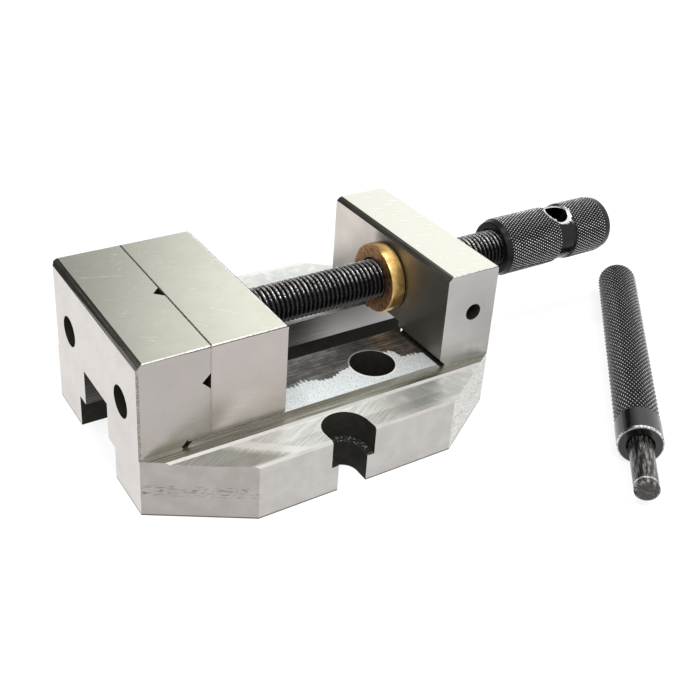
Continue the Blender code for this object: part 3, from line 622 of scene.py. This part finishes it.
def collar_marks(graph):
    """Glossy collar with a bare ring along its front edge."""
    edge = graph.smooth(graph.maths("ABSOLUTE", graph.maths("ADD", graph.x, 0.45)), 0.38, 0.2)
    chips = graph.smooth(graph.noise(1.6, None, 2.0), 0.35, 0.55, 0.25, 0.95)
    collar = graph.smooth(graph.x, -BAR_COLLAR - 0.2, -BAR_COLLAR + 0.2)
    return graph.times(edge, chips), collar, 0.06, 0.6


def pin_steel():
    """Hardened pin, dark with bright lengthwise rubs and a bare ring near its end."""
    graph = Graph("steel_blackened_pin", (BAR_X, BAR_Y, BAR_R), BAR_TURN)
    rubs = graph.noise(1.5, graph.mapped(graph.mm, scale=(0.18, 1.0, 1.0)), 3.0, 0.6)
    colour = graph.blend(graph.smooth(rubs, 0.45, 0.65), tone(40, 38, 37), tone(132, 130, 127))
    end = graph.maths("ABSOLUTE", graph.maths("SUBTRACT", graph.x, BAR_PIN_OUT - 2.0))
    chips = graph.smooth(graph.noise(1.5), 0.4, 0.55, 0.3, 1.0)
    ring = graph.times(graph.smooth(end, 0.5, 0.2), chips)
    colour = graph.blend(ring, colour, tone(215, 212, 208))
    face = graph.smooth(graph.x, BAR_PIN_OUT - 0.08, BAR_PIN_OUT - 0.03)
    colour = graph.blend(graph.times(face, 0.8), colour, tone(70, 68, 66))
    return graph.finish(colour, 0.26, graph.bump(rubs, 0.006), 0.8)


def plain_steel(name, colour, roughness, metallic=1.0):
    """Plain finish of the small pieces that hardly show."""
    graph = Graph(name)
    base = mottled(graph, colour, 0.1, 0.5)
    return graph.finish(base, roughness, graph.bump(graph.noise(2.5), 0.004), metallic)


# ---------------------------------------------------------------- flat ground pieces

def whole_faces(node):
    """A CAD node's mesh with its triangles merged back into whole flat faces."""
    shape = bmesh.new()
    shape.from_mesh(frame["nodes"][node].data)
    bmesh.ops.remove_doubles(shape, verts=shape.verts, dist=0.003 * MM)
    bmesh.ops.dissolve_limit(shape, angle_limit=math.radians(0.6), verts=shape.verts,
                             edges=shape.edges)
    return shape


def ground_piece(node, name, body, materials, finish_of, edge_of, adjust=None):
    """Detailed copy of a machined node: whole faces, a finish for each face, broken edges.

    finish_of names a face's finish, edge_of gives the width of an edge's chamfer, and
    adjust moves a vertex first.
    """
    shape = whole_faces(node)
    if adjust is not None:
        for vertex in shape.verts:
            vertex.co = at(*adjust(in_mm(vertex.co)))
        shape.normal_update()
    names = list(materials)
    for face in shape.faces:
        finish = finish_of(in_mm(face.calc_center_median()), face.normal)
        face.material_index = names.index(finish)
        face.smooth = face.calc_area() < SMALL_FACET * MM * MM
    weights = shape.edges.layers.float.new("bevel_weight_edge")
    for edge in shape.edges:
        if len(edge.link_faces) == 2 and edge.calc_face_angle() > SHARP:
            first, last = (in_mm(v.co) for v in edge.verts)
            edge.smooth = False
            edge[weights] = edge_of(first, last) / WIDEST_EDGE
    mesh = bpy.data.meshes.new(name)
    shape.to_mesh(mesh)
    shape.free()
    for material in materials.values():
        mesh.materials.append(material)
    piece = add_piece(name, mesh, body, [node])
    bevel = piece.modifiers.new("broken_edges", "BEVEL")
    bevel.limit_method = "WEIGHT"
    bevel.width = WIDEST_EDGE * MM
    bevel.segments = 2
    bevel.use_clamp_overlap = "ledge" in names
    bevel.material = names.index("edge") if "edge" in names else -1


def both(first, last, test):
    return test(first) and test(last)


def base_edge(first, last):
    """Chamfer of an edge of the base: none where the jaw plate meets the block."""
    if both(first, last, lambda p: abs(p.x - BLOCK_FRONT_X) < 0.1 and p.z > BED_Z - 2.0):
        return 0.0
    if both(first, last, lambda p: abs(p.z) < 0.1):
        return FOOT_EDGE
    return BASE_EDGE


def block_edge(first, last):
    """Chamfer of an edge of the plate or the moving jaw: widest along the side top edges."""
    if both(first, last, lambda p: abs(p.x - BLOCK_FRONT_X) < 0.5):
        return 0.0
    if both(first, last, lambda p: p.z > TOP_Z and abs(p.y) > JAW_HALF - 0.1):
        return WIDEST_EDGE
    return BLOCK_EDGE


def base_finish(c, n):
    """Name of the finish of a face of the base, from its centre and normal."""
    away = abs(c.y)
    if n.z < -0.9 and c.z < 1.0:
        return "side"
    at_slot = abs(c.x - CLAMP_SLOT_X) < CLAMP_HEAD_R + 0.1
    if at_slot and away > CLAMP_POCKET_Y and c.z < CLAMP_POCKET_Z:
        return "seat" if n.z > 0.9 else "bore"
    if math.hypot(c.x - BED_HOLE_X, away - BED_HOLE_Y) < BED_HOLE_R + 0.2 and c.z < BED_Z - 0.1:
        return "bore"
    if away < CHANNEL_HALF + 0.1 and c.z < BED_Z and abs(n.x) < 0.5:
        seen = abs(n.y) > 0.9 and c.z > CHANNEL_STEP_Z and c.x < REAR_FACE_X
        return "slot_wall" if seen else "bore"
    if n.z > 0.9 and c.z > TOP_Z:
        return "top"
    if n.z > 0.3 and abs(n.y) > 0.3 and c.z > TOP_Z:
        return "edge"
    if n.z > 0.9 and abs(c.z - LEDGE_Z) < 0.1:
        return "ledge"
    if n.z > 0.9 and abs(c.z - BED_Z) < 0.1:
        return "bed"
    if n.z > 0.9 and away > COVE_START_Y:
        return "cove"
    if n.z > 0.5 and away > JAW_HALF:
        return "flange"
    if n.x < -0.9 and c.x > REAR_FACE_X - 1.0:
        return "inner"
    if abs(n.x) > 0.9 and (c.x < 0.2 or c.x > BASE_LENGTH - 0.2):
        return "end"
    if abs(n.y) > 0.9 and abs(away - JAW_HALF) < 0.2:
        return "side"
    if abs(n.y) > 0.9 and abs(away - FLANGE_HALF) < 0.2:
        return "flange"
    if abs(n.z) < 0.2 and away > JAW_HALF:
        return "chattered"
    if abs(n.x) > 0.5 and abs(n.z) > 0.5 and c.z > TOP_Z - 2.0:
        return "chamfer"
    if abs(n.x) > 0.5 and abs(n.y) > 0.5 and away > JAW_HALF - 1.0:
        return "chamfer"
    return "bore"


def block_finish(c, n):
    """Name of the finish of a face of the fixed plate or the moving jaw."""
    if n.z > 0.9 and c.z > TOP_Z:
        return "top"
    if abs(n.y) > 0.9 and abs(c.y) > JAW_HALF - 0.5:
        return "side"
    if abs(c.y) < SLOT_HALF and c.z < BED_Z + 0.2:
        return "side"
    if abs(n.x) > 0.9 and c.x < JAW_REAR_X + 1.0 and abs(c.z - SCREW_Z) < 25.0:
        return "inner"
    return "bore"


def block_front(p):
    """Close the block's front top edge up to the plate."""
    at_plate = BLOCK_FRONT_X - 0.6 < p.x < 20.0 and p.z > TOP_Z
    return (BLOCK_FRONT_X - TOUCHING if at_plate else p.x, p.y, p.z)


def plate_back(p):
    """Carry the plate back against the block, as the ground joint sits."""
    return (BLOCK_FRONT_X + TOUCHING if p.x < BLOCK_FRONT_X + 0.4 else p.x, p.y, p.z)


def jaw_front(p):
    """Close the jaws to a hairline."""
    return (PLATE_FRONT_X + JAW_HAIRLINE if p.x < PLATE_FRONT_X + 0.4 else p.x, p.y, p.z)


def make_ground_pieces():
    block = {"top": ground_top(), "side": ground_side(), "end": ground_end(),
             "inner": rear_face(), "edge": edge_wear_and_painted_shade(), "bore": dark_bore()}
    base = dict(block, bed=bed_surface(), ledge=ledge(), cove=milled_cove(),
                flange=flange_side(), chattered=chattered_side(), chamfer=dark_chamfer(),
                seat=seat_ring(), slot_wall=slot_wall())
    ground_piece("base_body", "base_casting", "base", base,
                 base_finish, base_edge, block_front)
    ground_piece("fixed_jaw_plate", "fixed_jaw_face", "base", block,
                 block_finish, block_edge, plate_back)
    ground_piece("movable_jaw", "moving_jaw_block", "moving_jaw", block,
                 block_finish, block_edge, jaw_front)


# ---------------------------------------------------------------- turned pieces

def ring_band(faces, lower, upper, count, parity=None):
    """Join two rings of vertices. With a parity, quads split along the valleys of a knurl."""
    for s in range(count):
        a, b = lower + s, lower + (s + 1) % count
        d, c = upper + s, upper + (s + 1) % count
        if parity is None:
            faces.append((a, b, c, d))
        elif (s + parity) % 2 == 0:
            faces += [(a, b, c), (a, c, d)]
        else:
            faces += [(a, b, d), (b, c, d)]


def ring_mesh(name, rings, count):
    """Closed turned mesh along +X. A ring is (x, radius, knurl depth or None, knurl row)."""
    vertices, faces, crests = [], [], []
    for x, radius, depth, row in rings:
        for s in range(count):
            high = depth is not None and (s + row) % 2 == 1
            level = radius - (0.0 if depth is None or high else depth)
            if high:
                level -= random.uniform(0.0, KNURL_WEAR)
            angle = 2.0 * math.pi * s / count
            vertices.append(Vector((x, level * math.sin(angle), level * math.cos(angle))) * MM)
            crests.append(1.0 if high else 0.0)
    for index in range(len(rings) - 1):
        both_knurled = rings[index][2] is not None and rings[index + 1][2] is not None
        parity = rings[index][3] if both_knurled else None
        ring_band(faces, index * count, (index + 1) * count, count, parity)
    last = (len(rings) - 1) * count
    faces.append(tuple(range(count)))
    faces.append(tuple(range(last, last + count)))
    mesh = bpy.data.meshes.new(name)
    mesh.from_pydata(vertices, [], faces)
    crest = mesh.attributes.new("crest", "FLOAT", "POINT")
    crest.data.foreach_set("value", crests)
    tidy_mesh(mesh)
    return mesh


def tidy_mesh(mesh):
    """Weld a mesh and turn its faces outwards."""
    shape = bmesh.new()
    shape.from_mesh(mesh)
    bmesh.ops.remove_doubles(shape, verts=shape.verts, dist=0.002 * MM)
    bmesh.ops.recalc_face_normals(shape, faces=shape.faces)
    shape.to_mesh(mesh)
    shape.free()


def smooth_by_angle(mesh, degrees):
    mesh.shade_smooth()
    mesh.set_sharp_from_angle(angle=math.radians(degrees))


def plain(x, radius):
    """A smooth ring for ring_mesh."""
    return (x, radius, None, 0)


def turned(*profile):
    """Smooth rings from pairs of x and radius."""
    return [plain(x, radius) for x, radius in profile]


def knurl_rows(start, end, radius, starts):
    """Rings of a diamond knurl on a straight barrel."""
    around = 2.0 * math.pi * radius / starts
    step = around / math.tan(KNURL_ANGLE) / 2.0
    rows = max(2, round(abs(end - start) / step))
    return [(start + (end - start) * row / rows, radius, KNURL_DEPTH, row)
            for row in range(rows + 1)]


def on_axis():
    """Place of a piece that is turned about the screw's axis."""
    return Matrix.Translation(at(0.0, 0.0, SCREW_Z))


def drill(piece, cutter):
    """Cut a tool out of a piece for good, and remove the tool."""
    modifier = piece.modifiers.new("hole", "BOOLEAN")
    modifier.operation = "DIFFERENCE"
    modifier.solver = "EXACT"
    modifier.object = cutter
    graph = bpy.context.evaluated_depsgraph_get()
    mesh = bpy.data.meshes.new_from_object(piece.evaluated_get(graph))
    piece.modifiers.remove(modifier)
    piece.data = mesh
    bpy.data.objects.remove(cutter, do_unlink=True)


def make_knob():
    """Knob from the bore and the recess at its front, over two knurled barrels, to its end."""
    rings = turned((151.4, 5.3), (138.3, 5.3), (138.3, 6.4), (134.5, 6.4),
                   (KNOB_START_X, 6.6), (KNOB_START_X, 8.35), (134.5, 8.6), (136.2, 9.15))
    rings += knurl_rows(136.4, 156.7, KNOB_R, KNURL_STARTS)
    rings += turned((156.8, 9.2), (157.4, 8.9), (157.6, KNOB_WAIST_R),
                    (162.9, KNOB_WAIST_R), (163.1, 8.9), (163.7, 9.2))
    rings += knurl_rows(163.8, 176.3, KNOB_R, KNURL_STARTS)
    rings += turned((176.6, 9.3), (177.6, 9.15), (179.2, 8.75), (179.5, 8.5),
                    (KNOB_END_X, 8.2))
    mesh = ring_mesh("knob_knurled", rings, 2 * KNURL_STARTS)
    smooth_by_angle(mesh, 22.0)
    knob = add_piece("knob_knurled", mesh, "spindle", ["knob"], on_axis())
    drill(knob, cross_hole_tool())
    oxide = black_oxide("black_oxide_knob", tone(16, 15, 16), 0.26, 0.95, 0.16,
                        place=((CROSS_HOLE_X, 0.0, SCREW_Z), 0.0), detail=hole_rim)
    knob.data.materials.clear()
    knob.data.materials.append(oxide)
    smooth_by_angle(knob.data, 22.0)


def cross_hole_tool():
    """Drill for the tommy bar's cross hole."""
    bpy.ops.mesh.primitive_cylinder_add(vertices=64, radius=CROSS_HOLE_R * MM,
                                        depth=24.0 * MM)
    tool = bpy.context.object
    turn = Matrix.Rotation(CROSS_HOLE_TILT, 4, "X")
    tool.matrix_world = Matrix.Translation(at(CROSS_HOLE_X, 0.0, SCREW_Z)) @ turn
    return tool


def thread_profile():
    """One pitch of the thread, from its root, as (share of the pitch, radius)."""
    return [(0.0, THREAD_ROOT_R), (0.22, THREAD_ROOT_R), (0.52, THREAD_CREST_R - 0.03),
            (0.575, THREAD_CREST_R), (0.635, THREAD_CREST_R), (0.69, THREAD_CREST_R - 0.03)]


def make_spindle():
    """Helical thread on a grid sheared along the helix, with plain turned ends."""
    count = 72
    profile = thread_profile()
    per_turn = len(profile)
    turns = math.ceil((THREAD_END_X - THREAD_START_X) / THREAD_PITCH) + 2
    rows = turns * per_turn
    vertices, faces, crests = [], [], []

    def vertex(k, row):
        share, radius = profile[row % per_turn]
        x = THREAD_START_X + THREAD_PITCH * (row // per_turn + share + k / count - 1.0)
        x = min(max(x, THREAD_START_X), THREAD_END_X)
        limit = THREAD_ROOT_R + min(x - THREAD_START_X, THREAD_END_X - x)
        radius = min(radius, limit)
        angle = 2.0 * math.pi * k / count
        crests.append((radius - THREAD_ROOT_R) / (THREAD_CREST_R - THREAD_ROOT_R))
        return Vector((x, -radius * math.sin(angle), radius * math.cos(angle))) * MM

    for row in range(rows + 1):
        vertices += [vertex(k, row) for k in range(count)]
    for row in range(rows):
        for k in range(count):
            a, d = row * count + k, (row + 1) * count + k
            if k < count - 1:
                b, c = a + 1, d + 1
            else:
                b = min(row + per_turn, rows) * count
                c = min(row + 1 + per_turn, rows) * count
            faces.append((a, b, c, d))
    faces.append(tuple(range(count)))
    faces.append(tuple(range(rows * count, (rows + 1) * count)))
    mesh = bpy.data.meshes.new("screw_thread")
    mesh.from_pydata(vertices, [], faces)
    crest = mesh.attributes.new("crest", "FLOAT", "POINT")
    crest.data.foreach_set("value", crests)
    tidy_mesh(mesh)
    smooth_by_angle(mesh, 40.0)
    oxide = black_oxide("black_oxide_screw", tone(10, 9, 9), 0.2, 1.0, 0.2,
                        tone(225, 224, 222), glint_side=SCREW_GLINT_Z)
    mesh.materials.append(oxide)
    add_piece("screw_thread", mesh, "spindle", ["spindle"], on_axis())
    make_spindle_ends(oxide)


def make_spindle_ends(material):
    """Nose and neck inside the moving jaw, and the spigot inside the knob."""
    nose = turned((31.8, 4.4), (32.1, 4.7), (34.3, 4.7), (34.4, 3.2), (37.6, 3.2),
                  (37.7, 4.7), (THREAD_START_X, 4.7), (THREAD_START_X + 0.5, 4.7))
    spigot = turned((THREAD_END_X - 0.5, 5.0), (150.7, 5.0), (151.0, 4.7))
    for name, rings in (("screw_nose", nose), ("screw_spigot", spigot)):
        mesh = ring_mesh(name, rings, 64)
        smooth_by_angle(mesh, 30.0)
        mesh.materials.append(material)
        add_piece(name, mesh, "spindle", ["spindle"], on_axis())


def make_nut():
    """Flanged nut: barrel, flange with rounded rim, chamfered bore."""
    mesh = open_ring_mesh("bronze_nut_turned", (
        (NUT_END_X, NUT_BARREL_R), (REAR_FACE_X - 0.3, NUT_BARREL_R),
        (REAR_FACE_X - 0.3, NUT_FLANGE_R - 0.3), (REAR_FACE_X - 0.6, NUT_FLANGE_R),
        (NUT_FLANGE_X + 0.45, NUT_FLANGE_R), (NUT_FLANGE_X + 0.12, NUT_FLANGE_R - 0.18),
        (NUT_FLANGE_X, NUT_FLANGE_R - 0.5), (NUT_FLANGE_X, NUT_BORE_R + 0.6),
        (NUT_FLANGE_X + 0.5, NUT_BORE_R), (NUT_END_X - 0.5, NUT_BORE_R),
        (NUT_END_X, NUT_BORE_R + 0.5)), 128)
    smooth_by_angle(mesh, 30.0)
    mesh.materials.append(bronze())
    add_piece("bronze_nut_turned", mesh, "base", ["bronze_nut"])


def open_ring_mesh(name, profile, count):
    """Turned mesh whose profile closes on itself, so that it has a bore right through."""
    vertices, faces = [], []
    for x, radius in profile:
        for s in range(count):
            angle = 2.0 * math.pi * s / count
            vertices.append(at(x, radius * math.sin(angle), SCREW_Z + radius * math.cos(angle)))
    for index in range(len(profile)):
        ring_band(faces, index * count, (index + 1) % len(profile) * count, count)
    mesh = bpy.data.meshes.new(name)
    mesh.from_pydata(vertices, [], faces)
    tidy_mesh(mesh)
    return mesh


# ---------------------------------------------------------------- tommy bar

def bar_place():
    """Place of the bar's own axes: +X from the grip to the pin, origin at the collar's face."""
    return Matrix.Translation(at(BAR_X, BAR_Y, BAR_R)) @ Matrix.Rotation(BAR_TURN, 4, "Z")


def make_bar():
    make_bar_grip(bar_place())
    make_bar_pin(bar_place())


def make_bar_grip(place):
    """Grip from its bore, over the collar and the knurled barrel, to the knurled dome."""
    rings = turned((-BAR_BORE_DEPTH, BAR_BORE_R), (-0.4, BAR_BORE_R), (0.0, BAR_BORE_R + 0.35),
                   (0.0, BAR_R - 0.75), (-0.2, BAR_R - 0.35), (-0.7, BAR_R),
                   (-BAR_COLLAR, BAR_R), (-BAR_COLLAR - 0.2, BAR_R - 0.2))
    dome_start = -BAR_LENGTH + BAR_DOME
    straight = knurl_rows(-BAR_COLLAR - 0.3, dome_start, BAR_R, BAR_STARTS)
    rings += straight
    row = straight[-1][3]
    steps = 9
    for step in range(1, steps + 1):
        angle = math.radians(90.0) * step / (steps + 1)
        radius = BAR_R - BAR_DOME * (1.0 - math.cos(angle))
        x = dome_start - BAR_DOME * math.sin(angle)
        depth = KNURL_DEPTH * (1.0 - step / (steps + 1.0))
        rings.append((x, radius, depth, row + step))
    rings.append(plain(-BAR_LENGTH, 1.0))
    mesh = ring_mesh("tommy_bar_knurled", rings, 2 * BAR_STARTS)
    smooth_by_angle(mesh, 22.0)
    oxide = black_oxide("black_oxide_bar", tone(18, 17, 18), 0.26, 0.85, 0.16,
                        place=((BAR_X, BAR_Y, BAR_R), BAR_TURN), detail=collar_marks)
    mesh.materials.append(oxide)
    add_piece("tommy_bar_knurled", mesh, "tommy_bar",
              ["tommy_bar_grip"], place)


def make_bar_pin(place):
    """Turned pin with a shallow groove near its chamfered end."""
    end, groove = BAR_PIN_OUT, BAR_PIN_R - 0.12
    rings = turned((-BAR_PIN_IN, 3.2), (-BAR_PIN_IN + 0.3, BAR_PIN_R),
                   (end - 2.3, BAR_PIN_R), (end - 2.2, groove), (end - 1.9, groove),
                   (end - 1.8, BAR_PIN_R), (end - 0.6, BAR_PIN_R),
                   (end - 0.1, BAR_PIN_R - 0.55), (end, BAR_PIN_R - 0.75))
    mesh = ring_mesh("tommy_bar_drive_pin", rings, 96)
    smooth_by_angle(mesh, 30.0)
    mesh.materials.append(pin_steel())
    add_piece("tommy_bar_drive_pin", mesh, "tommy_bar", ["tommy_bar_pin"], place)


# ---------------------------------------------------------------- small fasteners

def make_small_pieces():
    """Smooth copies of the fasteners and sealed pieces, with their edges broken."""
    hard = plain_steel("steel_hardened", tone(190, 190, 190), 0.25)
    dark = plain_steel("black_oxide_fastener", tone(40, 40, 42), 0.4, 0.0)
    ground = plain_steel("steel_keeper", tone(190, 188, 180), 0.35)
    listing = [("jaw_plate_screw_near", dark), ("jaw_plate_screw_far", dark),
               ("jaw_plate_dowel_near", hard), ("jaw_plate_dowel_far", hard),
               ("nut_lock_screw", dark), ("keeper_plate", ground),
               ("keeper_screw_front", dark), ("keeper_screw_rear", dark),
               ("screw_pin_near", hard), ("screw_pin_far", hard),
               ("thrust_ball", hard), ("knob_pin", hard)]
    for node, material in listing:
        body = frame["nodes"][node]["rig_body"]
        ground_piece(node, node + "_finished", body, {"all": material},
                     lambda centre, normal: "all", lambda first, last: FASTENER_EDGE)


# ---------------------------------------------------------------- stage, light and camera

FLOOR_GREY = 0.2
FLOOR_GLOW = 0.82
OPENING_TOWARDS = (-0.475, 0.726, 0.497)
OPENING_INSIDE = math.radians(31.0)
OPENING_OUTSIDE = math.radians(63.0)
OPENING_LIGHT = 0.04
DOME_LIGHT = 1.28


def make_stage():
    """White paper sweep, lit from below as well, so that it stays white round the vise."""
    bpy.ops.mesh.primitive_plane_add(size=6.0)
    floor = bpy.context.object
    floor.name = "floor"
    material = bpy.data.materials.new("white_sweep")
    material.use_nodes = True
    shader = material.node_tree.nodes["Principled BSDF"]
    shader.inputs["Base Color"].default_value = (FLOOR_GREY, FLOOR_GREY, FLOOR_GREY, 1.0)
    shader.inputs["Roughness"].default_value = 0.9
    shader.inputs["Specular IOR Level"].default_value = 0.0
    shader.inputs["Emission Color"].default_value = (1.0, 1.0, 1.0, 1.0)
    shader.inputs["Emission Strength"].default_value = FLOOR_GLOW
    floor.data.materials.append(material)


def make_world():
    """White studio dome that falls off to a dark opening behind the fixed jaw."""
    world = bpy.data.worlds.new("studio")
    bpy.context.scene.world = world
    world.use_nodes = True
    tree = world.node_tree
    background = tree.nodes["Background"]
    coordinates = tree.nodes.new("ShaderNodeTexCoord")
    dot = tree.nodes.new("ShaderNodeVectorMath")
    dot.operation = "DOT_PRODUCT"
    dot.inputs[1].default_value = Vector(OPENING_TOWARDS).normalized()
    tree.links.new(coordinates.outputs["Generated"], dot.inputs[0])
    angle = tree.nodes.new("ShaderNodeMath")
    angle.operation = "ARCCOSINE"
    tree.links.new(dot.outputs["Value"], angle.inputs[0])
    opening = tree.nodes.new("ShaderNodeMapRange")
    opening.interpolation_type = "SMOOTHSTEP"
    opening.inputs["From Min"].default_value = OPENING_INSIDE
    opening.inputs["From Max"].default_value = OPENING_OUTSIDE
    opening.inputs["To Min"].default_value = OPENING_LIGHT
    opening.inputs["To Max"].default_value = DOME_LIGHT
    tree.links.new(angle.outputs["Value"], opening.inputs["Value"])
    tree.links.new(opening.outputs["Result"], background.inputs["Strength"])
    background.inputs["Color"].default_value = (1.0, 1.0, 1.0, 1.0)


def area_light(name, place, target, width, radiance):
    """Square softbox of a given brightness, whatever its size."""
    data = bpy.data.lights.new(name, "AREA")
    data.shape = "SQUARE"
    data.size = width
    data.energy = radiance * math.pi * width * width
    light = bpy.data.objects.new(name, data)
    bpy.context.scene.collection.objects.link(light)
    light.location = place
    light.rotation_euler = (Vector(target) - Vector(place)).to_track_quat("-Z", "Y").to_euler()


def make_lights():
    """One large softbox overhead, and small bright ones that pick out threads and knurls."""
    middle = at(70.0, 0.0, 20.0)
    area_light("overhead", middle + Vector((0.1, 0.0, 0.95)), middle, 0.3, 4.0)
    for name, offset in (("spot_left", (-0.45, -0.25, 0.8)),
                         ("spot_front", (-0.1, -0.55, 0.8)),
                         ("spot_top", (-0.3, 0.1, 0.9))):
        area_light(name, middle + Vector(offset), middle, 0.09, 80.0)


CAMERA_AZIMUTH = math.radians(-34.38)
CAMERA_ELEVATION = math.radians(28.39)
CAMERA_ROLL = math.radians(4.10)
CAMERA_DISTANCE = 316.5
CAMERA_AIM = (60.0, 0.0, 18.0)
CAMERA_SIDE = 17.88
CAMERA_RISE = 21.6
FOCAL_SHARE = 1066.0 / 700.0        # focal length as a share of the picture's width
SENSOR = 36.0
CAMERA_SHIFT = -80.0 / 700.0        # the axis meets the picture above its middle


def make_camera():
    """Camera at the photograph's angle, aimed at the middle of the vise."""
    side = Vector((math.cos(CAMERA_AZIMUTH), math.sin(CAMERA_AZIMUTH), 0.0))
    level = math.cos(CAMERA_ELEVATION)
    back = Vector((math.sin(CAMERA_AZIMUTH) * level, -math.cos(CAMERA_AZIMUTH) * level,
                   math.sin(CAMERA_ELEVATION)))
    rise = back.cross(side)
    right = side * math.cos(CAMERA_ROLL) + rise * math.sin(CAMERA_ROLL)
    up = -side * math.sin(CAMERA_ROLL) + rise * math.cos(CAMERA_ROLL)
    data = bpy.data.cameras.new("camera")
    data.sensor_width = SENSOR
    data.lens = FOCAL_SHARE * SENSOR
    data.shift_y = CAMERA_SHIFT
    data.clip_start = 0.01
    camera = bpy.data.objects.new("camera", data)
    bpy.context.scene.collection.objects.link(camera)
    turn = Matrix((right, up, back)).transposed().to_4x4()
    offset = back * CAMERA_DISTANCE + right * CAMERA_SIDE + up * CAMERA_RISE
    camera.matrix_world = Matrix.Translation(at(*CAMERA_AIM) + offset * MM) @ turn
    bpy.context.scene.camera = camera


make_camera()
make_stage()
make_world()
make_lights()
make_ground_pieces()
make_spindle()
make_knob()
make_nut()
make_bar()
make_small_pieces()
bpy.context.scene.view_settings.view_transform = "Standard"
